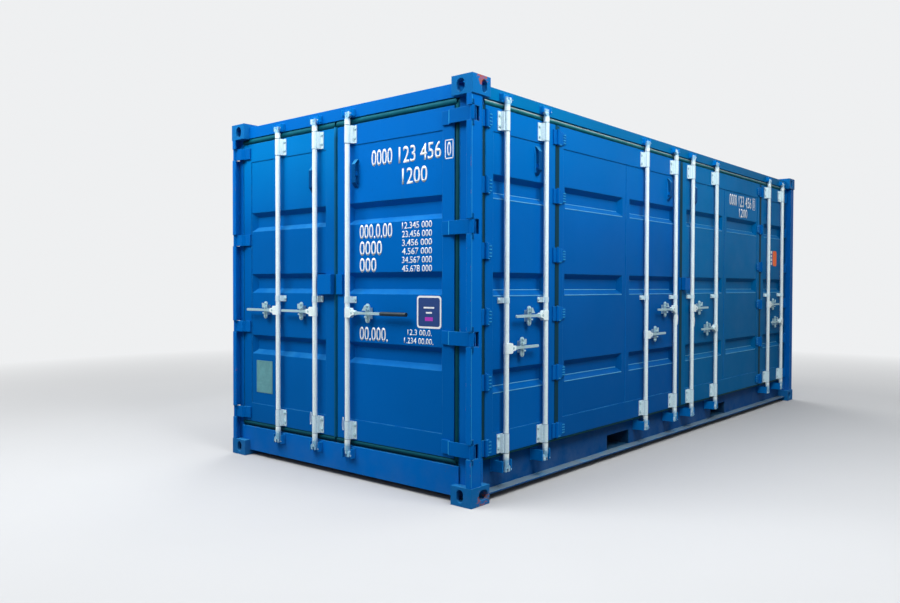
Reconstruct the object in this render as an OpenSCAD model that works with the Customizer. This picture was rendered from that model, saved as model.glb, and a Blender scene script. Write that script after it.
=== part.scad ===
// Shipping container, 20 ft, two swing doors in one end and four folding leaves in one side.
// Frame: +Z up, origin at the middle of the bottom of the box. X runs along the length with the
// door end at -X. The folding side faces -Y. The +X end and the +Y side are plain walls.

/* [Box] */
// overall length
box_l = 6058; // [2991:1:12192]
// overall width
box_w = 2438; // [2438:1:2500]
// overall height
box_h = 2591; // [2438:1:2896]
// distance of the casting holes from the end planes
hole_end = 102.5; // [101:0.5:104]
// distance of the casting holes from the side planes
hole_side = 89.5; // [89:0.5:90]

/* [Corner castings] */
// length of a casting along the box
cast_l = 178; // [170:1:180]
// width of a casting across the box
cast_w = 162; // [160:1:165]
// height of a casting
cast_h = 118; // [110:1:120]
// thickness of the plate with the long hole
cast_t = 28; // [25:1:32]
// width of the long hole
slot_w = 63.5; // [60:0.5:66]
// length of the long hole
slot_l = 124; // [120:1:126]
// thickness of a casting's end wall
end_wall = 25; // [20:1:30]
// thickness of a casting's side wall
side_wall = 20; // [15:1:25]
// thickness of a casting's inner walls
cast_in = 14; // [10:1:20]
// height of the holes' middle above a casting's inner face
cast_mid = 56; // [50:1:62]

/* [Frame] */
// height of the floor's top
floor_z = 225; // [150:1:260]
// thickness of the floor boards
board_t = 28; // [25:1:30]
// underside of the base rails
base_z = 40; // [12:1:60]
// height of the sheet walls' foot
wall_z = 170; // [150:1:200]
// drop from the box's top to the underside of the headers
head_drop = 113; // [90:1:180]
// drop from the box's top to the top of the headers and side rails
rail_drop = 28; // [10:1:50]
// drop from the box's top to the roof's foot
roof_drop = 64; // [40:1:80]
// depth of the door end's header and sill along the box
header_w = 110; // [90:1:150]
// set-back of the door end's header and sill faces
header_in = 48; // [40:1:60]
// width of the blind end's and the plain side's top rails
tube_w = 60; // [50:1:80]
// plate thickness of the rails
rail_t = 5; // [3:1:8]
// set-back of the plain side's bottom channel web
channel_w = 53; // [48:1:60]
// width of the ledges that carry the floor
ledge_w = 40; // [30:1:50]
// thickness of the wall sheets
sheet = 2; // [1.6:0.1:4]
// set-back of the post faces from the outer planes
post_in = 8; // [0:1:12]
// width of the post beside the folding doors, seen from the end
post_near = 139; // [110:1:160]
// width of the post on the plain side, seen from the end
post_far = 69; // [60:1:120]
// set-back of the post face that the door hinges cross
jamb_in = 58; // [50:1:70]

/* [Wall corrugations] */
// pitch of the side wall corrugations
side_pitch = 278; // [200:1:300]
// depth of the side wall corrugations
side_deep = 36; // [30:1:46]
// pitch of the end wall corrugations
end_pitch = 250; // [200:1:300]
// depth of the end wall corrugations
end_deep = 45; // [30:1:50]
// pitch of the roof corrugations
roof_pitch = 209; // [150:1:300]
// depth of the roof corrugations
roof_deep = 18; // [10:1:25]

/* [Fork pockets] */
// spacing of the fork pockets
fork_x = 2050; // [2050:1:2100]
// clear width of a fork pocket
fork_w = 360; // [355:1:370]
// clear height of a fork pocket
fork_h = 115; // [115:1:120]

/* [End doors] */
// set-back of the door faces from the end plane
door_in = 55; // [45:1:70]
// thickness of the door frames
door_t = 50; // [40:1:60]
// foot of the door frames
door_z0 = 268; // [250:1:290]
// drop from the box's top to the head of the door frames
door_drop = 159; // [140:1:200]
// width of the door stiles
stile = 96; // [80:1:110]
// set-back of the panels from the frame faces
panel_in = 4; // [2:1:8]
// thickness of the door panels
panel_t = 3; // [2:0.5:5]
// depth of the pressed recesses
press_deep = 36; // [20:1:40]
// height of the pressed recesses
press_h = 146; // [100:1:200]
// width of a recess's slopes
press_slope = 34; // [20:1:50]
// width of the door frames' top and bottom rails
frame_rail = 140; // [100:1:180]
// place of the meeting gap across the end
gap_y = 45; // [-60:1:60]
// half width of the meeting gap between the frames
gap_half = 14; // [10:1:20]
// width of the gasket beside the posts
seal_w = 38; // [20:1:45]
// width of the gasket at the meeting gap
seal_mid = 9; // [5:1:12]

/* [Hinges] */
// set-back of the door hinge pins from the end plane
pin_in = 18; // [14:1:24]
// set-back of the door hinge pins from the side planes
pin_side = 14.5; // [12:0.5:20]
// radius of the door hinge pins
pin_r = 8; // [6:0.5:10]
// play between pin and knuckle
play = 0.5; // [0.3:0.1:1]
// radius of the door hinge knuckles
knuckle_r = 13.5; // [12:0.5:16]
// height of a door hinge blade
blade_h = 85; // [60:1:120]
// thickness of a door hinge blade
blade_t = 12; // [8:1:14]
// clearance above and below a door hinge blade
slot_gap = 4; // [3:1:10]
// length of a hinge lug
lug_h = 30; // [20:1:40]

/* [Lock gear] */
// radius of the lock rods
rod_r = 17; // [15:0.5:20]
// wall of the lock rods
rod_wall = 4; // [3:0.5:6]
// set-back of the lock rods from the outer planes
rod_in = 20; // [18:1:30]
// foot of the lock rods
rod_z0 = 200; // [180:1:240]
// drop from the box's top to the head of the lock rods
rod_drop = 122; // [80:1:130]
// height of a cam
cam_h = 45; // [30:1:60]
// reach of a cam
cam_r = 34; // [28:1:40]
// half width of the slot between a cam's two horns
cam_notch = 9; // [6:0.5:11]
// height of the handle bars
bar_h = 24; // [18:1:30]
// thickness of the handle bars
bar_t = 10; // [8:1:14]
// place of a handle bar's front face, in front of the rod's axis
bar_front = 11; // [8:1:14]

/* [Folding side] */
// set-back of the leaf faces from the side plane
leaf_in = 52; // [45:1:70]
// foot of the leaves
leaf_z0 = 270; // [250:1:290]
// drop from the box's top to the head of the leaves
leaf_drop = 151; // [130:1:200]
// width of an outer leaf
outer_leaf = 786; // [600:1:900]
// gap between leaves
leaf_gap = 24; // [12:1:30]
// gap in the middle of the side
mid_gap = 22; // [10:1:30]
// set-back of the top rail's face
top_rail_in = 44; // [40:1:50]
// width of the top rail
top_rail_w = 106; // [90:1:130]
// set-back of the bottom rail's web
web_in = 110; // [90:1:120]
// reach of the bottom rail's flange
flange_w = 78; // [60:1:90]
// thickness of the bottom rail's plates
web_t = 6; // [4:1:10]
// height of a leaf hinge
leaf_hinge_h = 100; // [80:1:120]

/* [Hidden] */
$fn = 32;
hx = box_l / 2;
hy = box_w / 2;
cx = hx - cast_l;                 // inner faces of the castings, and the posts' inner ends
cy = hy - cast_w;
near_y = -hy + post_near;         // inner face of the posts beside the folding doors
far_y = hy - post_far;            // inner face of the posts on the plain side
hole_x = box_l - 2 * hole_end;
hole_y = box_w - 2 * hole_side;
head_z = box_h - head_drop;
rail_top = box_h - rail_drop;
roof_z = box_h - roof_drop;
door_z1 = box_h - door_drop;
leaf_z1 = box_h - leaf_drop;
rod_z1 = box_h - rod_drop;
panel_z0 = door_z0 + frame_rail;  // crease lines above and below the pressed part
panel_z1 = door_z1 - frame_rail;
door_h = door_z1 - door_z0;
leaf_h = leaf_z1 - leaf_z0;
door_hinge_z = [for (i = [0:3]) door_z0 + 67 + i * (door_h - 139) / 3];
leaf_hinge_z = [for (i = [0:5]) leaf_z0 + 60 + i * (leaf_h - 145) / 5];
end_press = [for (i = [0:2]) let (z = door_z0 + (0.2795 + 0.2193 * i) * door_h)
  [z - press_h / 2, z + press_h / 2]];
side_press = [for (i = [0:2]) let (z = leaf_z0 + (0.2135 + 0.2811 * i) * leaf_h)
  [z - press_h / 2, z + press_h / 2]];
right_door = [near_y + 5 + seal_w, gap_y - gap_half];      // from and to, along Y
left_door = [gap_y + gap_half, far_y - 5 - seal_w * 0.25];
rod_y = [660, 236, -108];
end_handle_z = 1145;
blade_foot = 76;                  // from a hinge blade's bend to its end on the door
door_hold_z = door_z1 - 402;      // feet of the hold-backs
leaf_hold_z = leaf_z1 - 355;
plate_y = left_door[1] - stile - 59.5;
plate_z = panel_z0 + 92;
catch_side = 183;                 // from a rod to its handle's catch
catch_end = 162;
catch_c = 192;
low_handle_z = 935;
high_handle_z = 1135;
leaf_edge = cx - 16;              // outer edge of the outer leaves
fold_x = leaf_edge - outer_leaf - leaf_gap / 2;
leaf_hold_x = [mid_gap / 2 + 254, fold_x + 238];
leaf_x = [[-leaf_edge, -fold_x - leaf_gap / 2], [-fold_x + leaf_gap / 2, -mid_gap / 2],
          [mid_gap / 2, fold_x - leaf_gap / 2], [fold_x + leaf_gap / 2, leaf_edge]];
outer_column = [fold_x + 112, leaf_edge - 85];
inner_columns = [[120, 961], [1076, fold_x - 115]];
leaf_line_x = [-leaf_edge - 3, -fold_x, fold_x, leaf_edge + 3];
half_rod_x = [178, 730, fold_x + 173, leaf_edge - 180];
side_rod_x = concat([for (i = [3:-1:0]) -half_rod_x[i]], half_rod_x);
side_handle_z = [low_handle_z, high_handle_z, low_handle_z, high_handle_z,
                 high_handle_z, low_handle_z, high_handle_z, low_handle_z];
side_handle_dir = [1, -1, 1, -1, 1, -1, 1, -1];
bar_y = -bar_front;
collar_r = rod_in - 0.5;
bracket_h = 120;                  // the brackets near the ends of the rods
bracket_high = box_h - 168;
bracket_low = 277;
seal_top = head_z - 12;
seal_foot = floor_z + 8;
floor_y0 = -hy + web_in + web_t;  // the base lies between the two bottom rails' webs
floor_y1 = hy - channel_w;
floor_foot = floor_z - board_t;
member_gap = 265;
member_n = 6;
outer_member = hx - 329;
member_x = concat([for (i = [0:member_n - 1]) -outer_member + i * member_gap],
                  [for (i = [-2:2]) i * member_gap - 22],
                  [for (i = [0:member_n - 1]) outer_member - 45 - i * member_gap]);
steel_blue = [0.00, 0.33, 0.62];
deep_blue = [0.00, 0.27, 0.52];
zinc = [0.78, 0.82, 0.84];
dull_zinc = [0.62, 0.66, 0.68];
rubber = [0.07, 0.20, 0.20];
plywood = [0.45, 0.30, 0.18];
plastic = [0.08, 0.09, 0.11];
plate_green = [0.50, 0.60, 0.56];

// A box between two corners.
module span(a, b) {
  translate([min(a.x, b.x), min(a.y, b.y), min(a.z, b.z)])
    cube([abs(b.x - a.x), abs(b.y - a.y), abs(b.z - a.z)]);
}

// The end face: X runs right as seen from outside, Y is the depth behind the end plane.
module on_end() { translate([-hx, 0, 0]) rotate([0, 0, -90]) children(); }

// The folding side face, in the same manner.
module on_side() { translate([0, -hy, 0]) children(); }

// An outline in X and Z, drawn through from one Y to another.
module through_y(y0, y1) {
  translate([0, y1, 0]) rotate([90, 0, 0]) linear_extrude(height = y1 - y0) children();
}

// An outline in Y and Z, drawn through from one X to another.
module through_x(x0, x1) {
  translate([x0, 0, 0]) rotate([90, 0, 90]) linear_extrude(height = x1 - x0) children();
}

// A slot with round ends, lying along X.
module stadium(l, w) {
  for (s = [-1, 1]) translate([s * (l - w) / 2, 0]) circle(d = w, $fn = 40);
  square([l - w, w], center = true);
}

// Corner castings.

// The casting at the +X, +Y corner, its long hole upward. end_hole and side_hole are the width
// and height of the holes in those faces. The others are mirrored from it.
module casting(end_hole, side_hole) {
  difference() {
    translate([cx, cy, 0]) cube([cast_l, cast_w, cast_h]);
    translate([cx + cast_in, cy + cast_in, cast_in])
      cube([cast_l - cast_in - end_wall, cast_w - cast_in - side_wall, cast_h - cast_in - cast_t]);
    translate([hole_x / 2, hole_y / 2, cast_h - cast_t - 1])
      linear_extrude(height = cast_t + 2) stadium(slot_l, slot_w);
    translate([hx - end_wall - 1, hole_y / 2, cast_mid]) rotate([90, 0, 90])
      linear_extrude(height = end_wall + 2) upright(end_hole);
    translate([hole_x / 2 - 14, hy + 1, cast_mid]) rotate([90, 0, 0])
      linear_extrude(height = side_wall + 2) upright(side_hole);
  }
}

// A stadium of a given width and height, whichever is longer.
module upright(size) {
  if (size[0] > size[1]) stadium(size[0], size[1]);
  else rotate(90) stadium(size[1], size[0]);
}

module four_corners() {
  for (sx = [0, 1], sy = [0, 1]) mirror([sx, 0, 0]) mirror([0, sy, 0]) children();
}

module bottom_castings() {
  color(steel_blue) translate([0, 0, cast_h]) mirror([0, 0, 1]) four_corners()
    casting([51, 79], [89, 63.5]);
}

module top_castings() {
  color(steel_blue) translate([0, 0, box_h - cast_h]) four_corners() casting([63.5, 82], [51, 79]);
}

module casting_room() {
  for (z = [0, box_h - cast_h]) translate([0, 0, z]) four_corners()
    translate([cx, cy, -1]) cube([cast_l + 10, cast_w + 10, cast_h + 2]);
}

// Posts.

// Post section seen from above at the +X, +Y corner: a J-shaped outer bar that takes the hinge
// pins, and a hollow inner post behind the jamb.
module jamb_post(w) {
  difference() {
    translate([cx, hy - w]) square([cast_l - jamb_in, w - post_in]);
    translate([cx + 6, hy - w + 6]) square([cast_l - jamb_in - 12, w - post_in - 16]);
  }
  translate([cx, hy - post_in - 10]) square([cast_l, 10]);
  translate([hx - 12, hy - 44]) square([12, 44 - post_in]);
}

module hinge_slots() {
  for (z = door_hinge_z) translate([hx - 78, hy - 60, z - blade_h / 2 - slot_gap])
    difference() {
      cube([90, 70, blade_h + 2 * slot_gap]);
      translate([-1, -1, -1])
        cube([78 - jamb_in + 1, 60 - post_in - 10, blade_h + 2 * slot_gap + 2]);
    }
}

module hinge_post(w) {
  difference() {
    translate([0, 0, cast_h]) linear_extrude(height = box_h - 2 * cast_h) jamb_post(w);
    hinge_slots();
  }
}

module door_end_posts() {
  color(steel_blue) {
    mirror([1, 0, 0]) hinge_post(post_far);
    mirror([1, 0, 0]) mirror([0, 1, 0]) hinge_post(post_near);
  }
}

module tube_post(w) {
  translate([cx, hy - w, cast_h]) difference() {
    cube([cast_l - post_in, w - post_in, box_h - 2 * cast_h]);
    translate([6, 6, -1]) cube([cast_l - post_in - 12, w - post_in - 12, box_h]);
  }
}

module blind_end_posts() {
  color(steel_blue) {
    tube_post(post_far);
    mirror([0, 1, 0]) tube_post(post_near);
  }
}

// Lugs above and below each hinge, with the pin through both.
module hinge_lug_set() {
  reach = blade_h / 2 + slot_gap + lug_h;
  for (z = door_hinge_z) translate([hx - pin_in, hy - pin_side, z]) {
    translate([0, 0, -reach]) cylinder(r = pin_r, h = 2 * reach);
    for (s = [-1, 1]) translate([0, 0, s * (reach - lug_h / 2) - lug_h / 2])
      cylinder(r = 13, h = lug_h);
  }
}

module door_hinge_lugs() {
  color(deep_blue) for (sy = [0, 1]) mirror([1, 0, 0]) mirror([0, sy, 0]) difference() {
    hinge_lug_set();
    translate([0, 0, cast_h]) linear_extrude(height = box_h - 2 * cast_h) jamb_post(post_near);
  }
}

// Rails.

module tube_outline(w, h, t) {
  difference() {
    square([w, h]);
    translate([t, t]) square([w - 2 * t, h - 2 * t]);
  }
}

module door_header() {
  color(steel_blue) translate([-hx + header_in, 0, head_z])
    through_y(-cy, cy) tube_outline(header_w, rail_top - head_z, rail_t);
}

// The sill is a channel open to the rear, with its top plate as the threshold.
module door_sill() {
  color(steel_blue) difference() {
    translate([-hx + header_in, 0, base_z]) through_y(near_y, far_y) {
      square([web_t, floor_z - base_z]);
      translate([0, floor_z - base_z - web_t]) square([header_w - 8, web_t]);
      square([60, web_t]);
    }
    casting_room();
  }
}

// Header tube and sill channel of the blind end.
module blind_end_rails() {
  color(steel_blue) {
    translate([hx - tube_w - 10, 0, head_z])
      through_y(-cy, cy) tube_outline(tube_w, rail_top - head_z, rail_t);
    difference() {
      translate([hx - tube_w - web_t, 0, base_z]) through_y(near_y, far_y) {
        square([web_t, wall_z - base_z]);
        translate([0, wall_z - base_z - rail_t]) square([tube_w - 2, rail_t]);
        square([40, web_t]);
      }
      casting_room();
    }
  }
}

module folding_side_top_rail() {
  color(steel_blue) translate([0, -hy + top_rail_in, head_z + 2])
    through_x(-cx, cx) tube_outline(top_rail_w, rail_top - head_z - 10, rail_t);
}

module fork_holes(y0, y1) {
  for (s = [-1, 1]) translate([s * fork_x / 2 - fork_w / 2, y0, base_z + 10])
    cube([fork_w, y1 - y0, fork_h]);
}

module folding_side_bottom_rail() {
  color(deep_blue) difference() {
    translate([0, -hy, 0]) through_x(-cx, cx) {
      translate([web_in, base_z]) square([web_t, leaf_z0 - 20 - base_z]);
      translate([web_in - flange_w, base_z]) square([flange_w, 10]);
      translate([web_in + web_t, floor_z - board_t - web_t]) square([ledge_w, web_t]);
    }
    fork_holes(-hy + web_in - 1, -hy + web_in + web_t + 1);
  }
}

// Top tube and bottom channel of the plain side. The channel opens outward and carries the wall
// on its top flange, and a ledge on its inner side carries the floor.
module plain_side_rails() {
  web_y = hy - channel_w;
  color(deep_blue) {
    translate([0, hy - post_in - tube_w, rail_top - tube_w])
      through_x(-cx, cx) tube_outline(tube_w, tube_w, 4);
    difference() {
      translate([0, web_y, 0]) through_x(-cx, cx) {
        translate([0, base_z]) square([rail_t, floor_z - board_t - base_z]);
        translate([rail_t, wall_z - rail_t]) square([channel_w - rail_t - post_in, rail_t]);
        translate([rail_t, base_z]) square([26, rail_t]);
        translate([-ledge_w, floor_z - board_t - web_t]) square([ledge_w, web_t]);
      }
      fork_holes(web_y - 1, web_y + rail_t + 1);
    }
  }
}

// Sheet walls and roof.

// One corrugation: flat crest, slope, flat trough, slope.
function wave(n, p, d) = [for (i = [0:n - 1]) each
  [[i * p, 0], [i * p + 0.26 * p, 0], [i * p + 0.5 * p, d], [i * p + 0.76 * p, d]]];

// A corrugated strip of a given length, thickness t, with its crests at 0 and troughs at d.
module corrugated(l, p, d, t) {
  n = floor(l / p);
  lead = (l - n * p + 0.24 * p) / 2;
  line = concat([[0, 0]], [for (q = wave(n, p, d)) [q.x + lead, q.y]], [[l, n > 0 ? d : 0]]);
  intersection() {
    polygon(concat(line, [for (i = [len(line) - 1:-1:0]) [line[i].x, line[i].y + t]]));
    square([l, d + t]);
  }
}

module blind_end_wall() {
  color(steel_blue) difference() {
    translate([hx - 10, near_y, wall_z]) linear_extrude(height = head_z - wall_z) rotate(90)
      corrugated(far_y - near_y, end_pitch, end_deep, sheet);
    casting_room();
  }
}

module plain_side_wall() {
  color(steel_blue) translate([cx, hy - post_in - 1, wall_z])
    linear_extrude(height = rail_top - tube_w - wall_z) rotate(180)
      corrugated(2 * cx, side_pitch, side_deep, sheet);
}

module roof() {
  x0 = -hx + header_in + header_w;
  x1 = hx - tube_w - 10;
  color(steel_blue) difference() {
    translate([x0, 0, roof_z]) through_y(-hy + top_rail_in + top_rail_w, hy - post_in - tube_w)
      corrugated(x1 - x0, roof_pitch, roof_deep, sheet);
    casting_room();
  }
}

// Base and floor.

// Room for the ledges of the two bottom rails.
module ledge_room() {
  span([-hx, floor_y0 - 1, floor_foot - web_t], [hx, floor_y0 + ledge_w, floor_z]);
  span([-hx, floor_y1 - ledge_w, floor_foot - web_t], [hx, floor_y1 + 1, floor_z]);
}

module cross_members() {
  z0 = base_z + 5;
  color(deep_blue) difference() {
    for (x = member_x) translate([x, 0, 0]) through_y(floor_y0, floor_y1) translate([0, z0]) {
      square([5, floor_foot - z0]);
      square([45, 5]);
      translate([0, floor_foot - z0 - 5]) square([45, 5]);
    }
    ledge_room();
  }
}

// Two tunnels right across the base, each with a roof plate, side plates, straps under its ends
// and webs up to the floor.
module fork_pockets() {
  z0 = base_z + 10;
  z1 = z0 + fork_h;
  strap = 260;
  color(deep_blue) difference() {
    for (s = [-1, 1]) translate([s * fork_x / 2, 0, 0]) {
      span([-fork_w / 2 - 6, floor_y0, z1], [fork_w / 2 + 6, floor_y1, z1 + 6]);
      for (e = [-1, 1]) {
        span([e * fork_w / 2, floor_y0, z0 - 5], [e * (fork_w / 2 + 6), floor_y1, z1]);
        span([e * 120 - 3, floor_y0, z1 + 6], [e * 120 + 3, floor_y1, floor_foot]);
      }
      for (y = [floor_y0, floor_y1 - strap])
        span([-fork_w / 2 - 6, y, z0 - 6], [fork_w / 2 + 6, y + strap, z0 - 1]);
    }
    ledge_room();
  }
}

module floor_boards() {
  boards = 5;
  w = (floor_y1 - floor_y0) / boards;
  color(plywood) difference() {
    span([-hx + header_in + header_w - 8, floor_y0, floor_foot], [hx - tube_w, floor_y1, floor_z]);
    for (i = [1:boards - 1]) span([-hx, floor_y0 + i * w - 1.5, floor_z - 3],
                                  [hx, floor_y0 + i * w + 1.5, floor_z + 1]);
    for (sx = [0, 1]) mirror([sx, 0, 0]) {
      span([cx - 1, -hy, 0], [hx, near_y, floor_z + 1]);
      span([cx - 1, far_y, 0], [hx, hy, floor_z + 1]);
    }
  }
}

// Pressed panels.

// A pressed recess, from the panel's face inward, sloping on all four sides.
module press(x0, x1, z0, z1, deep, slope, grow) {
  a = grow;
  b = grow - slope;
  polyhedron(
    points = [[x0 - a, 0, z0 - a], [x1 + a, 0, z0 - a], [x1 + a, 0, z1 + a], [x0 - a, 0, z1 + a],
              [x0 - b, deep, z0 - b], [x1 + b, deep, z0 - b], [x1 + b, deep, z1 + b],
              [x0 - b, deep, z1 + b]],
    faces = [[3, 2, 1, 0], [4, 5, 6, 7], [0, 1, 5, 4], [1, 2, 6, 5], [2, 3, 7, 6], [3, 0, 4, 7]]);
}

// A panel between x0 and x1, z0 and z1, its face at y, with rows of recesses in columns.
module pressed_panel(x0, x1, z0, z1, y, rows, columns) {
  slope = press_slope;
  translate([0, y, 0]) difference() {
    union() {
      span([x0, 0, z0], [x1, panel_t, z1]);
      for (c = columns, r = rows)
        press(c[0], c[1], r[0], r[1], press_deep + panel_t, slope, panel_t);
    }
    for (c = columns, r = rows)
      translate([0, -0.01, 0]) press(c[0], c[1], r[0], r[1], press_deep, slope, 0);
  }
}

// A welded frame of stiles and rails, its face at y.
module door_frame(x0, x1, z0, z1, y, w, foot, head) {
  difference() {
    span([x0, y, z0], [x1, y + door_t, z1]);
    span([x0 + w, y - 1, foot], [x1 - w, y + door_t + 1, head]);
  }
}

// Lock gear, drawn on a face: X along the face, Y the depth, at the rod's own place.

module rod_at(x) { translate([x, rod_in, 0]) children(); }

// A cam on a rod's end, its tip upward: a hub, a lobe beside the keeper's lip on the handle's side,
// and a slot across the tip that leaves two horns.
module cam(dir) {
  mirror([dir > 0 ? 0 : 1, 0, 0]) difference() {
    union() {
      cylinder(r = rod_r, h = cam_h);
      intersection() {
        cylinder(r = cam_r, h = cam_h);
        through_y(-12, 8) polygon([[0, 3], [rod_r + 2, 3], [cam_r, 16], [cam_r, cam_h - 12],
                                   [cam_r - 7, cam_h], [0, cam_h]]);
      }
    }
    through_y(-cam_r, cam_r) translate([0, cam_h - 1.6 * cam_notch]) {
      circle(r = cam_notch, $fn = 24);
      translate([-cam_notch, 0]) square([2 * cam_notch, 3 * cam_notch]);
    }
  }
}

// A rod with its collars, its two cams and the fork that holds the handle. dir is the way the
// handle points.
module lock_rod(dir, hz) {
  difference() {
    union() {
      translate([0, 0, rod_z0]) cylinder(r = rod_r, h = rod_z1 - rod_z0);
      translate([0, 0, rod_z0]) cylinder(r = collar_r, h = bracket_low - 5 - rod_z0);
      translate([0, 0, bracket_high + 5]) cylinder(r = collar_r, h = rod_z1 - bracket_high - 5);
    }
    translate([0, 0, rod_z0 + 6]) cylinder(r = rod_r - rod_wall, h = rod_z1 - rod_z0 - 12);
  }
  translate([0, 0, rod_z1]) cam(dir);
  translate([0, 0, rod_z0]) mirror([0, 0, 1]) cam(dir);
  fork_cheeks(dir, hz);
}

// A square hub at the rod and two forged cheeks in front of and behind the handle bar.
module fork_cheeks(dir, hz) {
  tall = bar_h / 2 + 21;
  low = bar_h / 2 + 4;
  translate([0, 0, hz]) mirror([dir > 0 ? 0 : 1, 0, 0]) difference() {
    union() {
      rotate([90, 0, 0]) translate([0, 0, -12]) linear_extrude(height = 30)
        polygon([[8, -tall], [42, -tall], [50, -tall + 8], [52, -low - 2], [76, -low], [84, -low + 8],
                 [84, low - 8], [76, low], [52, low + 2], [50, tall - 8], [42, tall], [8, tall]]);
      translate([0, 0, -tall]) cylinder(r = collar_r, h = 2 * tall);
    }
    span([20, bar_y, -bar_h / 2], [90, bar_y + bar_t, bar_h / 2]);
    span([30, bar_y, -tall - 1], [90, bar_y + bar_t, tall + 1]);
    translate([0, 0, -tall - 1]) cylinder(r = rod_r - rod_wall, h = 2 * tall + 2);
  }
}

// The handle: a flat bar between the cheeks, with a waist and a round end.
module handle_bar(dir, l, hz) {
  r = bar_h / 2 - 3;
  translate([0, bar_y + bar_t, hz]) mirror([dir > 0 ? 0 : 1, 0, 0]) rotate([90, 0, 0])
    linear_extrude(height = bar_t) {
      polygon([[20, -bar_h / 2], [100, -bar_h / 2], [120, -r], [l - r, -r],
               [l - r, r], [120, r], [100, bar_h / 2], [20, bar_h / 2]]);
      translate([l - r, 0]) circle(r = r);
    }
}

// A bracket that holds the rod to a face set back by 'face': a foot plate, a raised pad beside
// the rod and a strap round it.
module rod_bracket(z0, z1, face, wide) {
  depth = face - rod_in;
  h = z1 - z0;
  difference() {
    union() {
      translate([0, 0, z0]) cylinder(r = rod_in - 0.3, h = h);
      span([-16, 10, z0], [16, depth, z1]);
      span([-22, depth - 6, z0], [wide, depth, z1]);
      translate([0, 0, z0]) linear_extrude(height = h)
        polygon([[14, 4], [26, 4], [34, depth - 6], [14, depth - 6]]);
    }
    translate([0, 0, z0 - 1]) cylinder(r = rod_r + play, h = h + 2);
  }
}

// A catch for a handle bar, open to the front: an oval plate close behind the bar on a stem from
// the door, a lip below the bar, and above it a lip with a slanting tongue.
module handle_catch(face, hz, dir) {
  depth = face - rod_in;
  gap = bar_h / 2 + 6;
  plate_y = bar_y + bar_t + 6;
  translate([0, 0, hz]) {
    translate([0, plate_y + 8, 0]) rotate([90, 90, 0]) linear_extrude(height = 8) stadium(130, 40);
    span([-15, plate_y + 7, -38], [15, depth, 38]);
    for (s = [-1, 1]) span([-10, bar_y - 4, s * gap], [10, plate_y + 1, s * (gap + 10)]);
    translate([0, bar_y - 3, 0]) rotate([90, 0, 0]) linear_extrude(height = 5)
      mirror([dir > 0 ? 1 : 0, 0]) polygon([[-12, gap + 34], [4, gap + 36], [16, gap + 16], [30, gap],
                                            [-10, gap]]);
  }
}

// A cam keeper: a plate with two lips beside the cam, open to the front.
module keeper(face, z0, z1) {
  depth = face - rod_in;
  lip = cam_r + 6;
  span([-lip - 10, depth - 5, z0], [lip + 10, depth, z1]);
  for (s = [-1, 1]) span([s * lip, -10, z0 + 6], [s * (lip + 9), depth - 4, z1 - 6]);
}

// Cam keepers on the headers and sills, above and below every rod.
module cam_keepers() {
  color(deep_blue) {
    on_end() for (y = rod_y) rod_at(-y) {
      keeper(header_in, head_z + 2, head_z + 60);
      keeper(header_in, 140, floor_z - 8);
    }
    on_side() for (x = side_rod_x) rod_at(x) {
      keeper(top_rail_in, head_z + 4, head_z + 58);
      keeper(web_in, 150, leaf_z0 - 35);
    }
  }
}

// Folding side.

// A leaf: frame, pressed panel, and a post between the panel's columns. A column of recesses is
// given by its two sides, as places along the box.
module side_leaf(i, columns) {
  x = leaf_x[i];
  w = 80;
  foot = leaf_z0 + frame_rail;
  head = leaf_z1 - frame_rail - 10;
  color(steel_blue) on_side() {
    door_frame(x[0], x[1], leaf_z0, leaf_z1, leaf_in, w, foot, head);
    pressed_panel(x[0] + w - 0.01, x[1] - w + 0.01, foot - 0.01, head + 0.01, leaf_in + panel_in,
      side_press, columns);
    if (len(columns) > 1)
      span([columns[0][1] + 10, leaf_in + panel_in + panel_t, foot],
           [columns[1][0] - 10, leaf_in + door_t, head]);
  }
}

function mirrored(c) = [for (i = [len(c) - 1:-1:0]) [-c[i][1], -c[i][0]]];

module side_leaf_1() { side_leaf(0, mirrored([outer_column])); }
module side_leaf_2() { side_leaf(1, mirrored(inner_columns)); }
module side_leaf_3() { side_leaf(2, inner_columns); }
module side_leaf_4() { side_leaf(3, [outer_column]); }

module side_gaskets() {
  color(rubber) on_side() difference() {
    span([-cx, leaf_in + 14, leaf_z0 - 20], [cx, leaf_in + 64, head_z + 2]);
    for (x = leaf_x) span([x[0], 0, leaf_z0], [x[1], 200, leaf_z1]);
  }
}

// A butt hinge's flap: short and square, or longer with a tapered end.
module hinge_flap(l, tapered) {
  cut = tapered ? 24 : 0;
  rotate([90, 0, 0]) linear_extrude(height = 10)
    polygon([[0, 0], [l - cut, 0], [l, cut], [l, leaf_hinge_h - cut], [l - cut, leaf_hinge_h],
             [0, leaf_hinge_h]]);
}

// Butt hinges between the leaves and at the posts: a knuckle with its pin and a flap on each side.
module side_hinges() {
  r = 13;
  color(steel_blue) on_side() for (i = [0:3], z = leaf_hinge_z) {
    x = leaf_line_x[i];
    out = x < 0 ? 0 : 1;
    at_post = abs(x) > leaf_edge;
    translate([x, leaf_in - r, z - leaf_hinge_h / 2]) {
      cylinder(r = r, h = leaf_hinge_h, $fn = 20);
      translate([0, 0, -7]) cylinder(r = 6, h = leaf_hinge_h + 14, $fn = 14);
      mirror([out, 0, 0]) {
        translate([0, r, 0]) hinge_flap(62, true);
        mirror([1, 0, 0]) translate([0, r, 0]) hinge_flap(at_post ? cx - abs(x) : 46, false);
      }
    }
  }
}

module side_lock_rods() {
  color(zinc) on_side() for (i = [0:7]) rod_at(side_rod_x[i])
    lock_rod(side_handle_dir[i], side_handle_z[i]);
}

module side_handles() {
  color(dull_zinc) on_side() for (i = [0:7]) rod_at(side_rod_x[i])
    handle_bar(side_handle_dir[i], 350, side_handle_z[i]);
}

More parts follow.
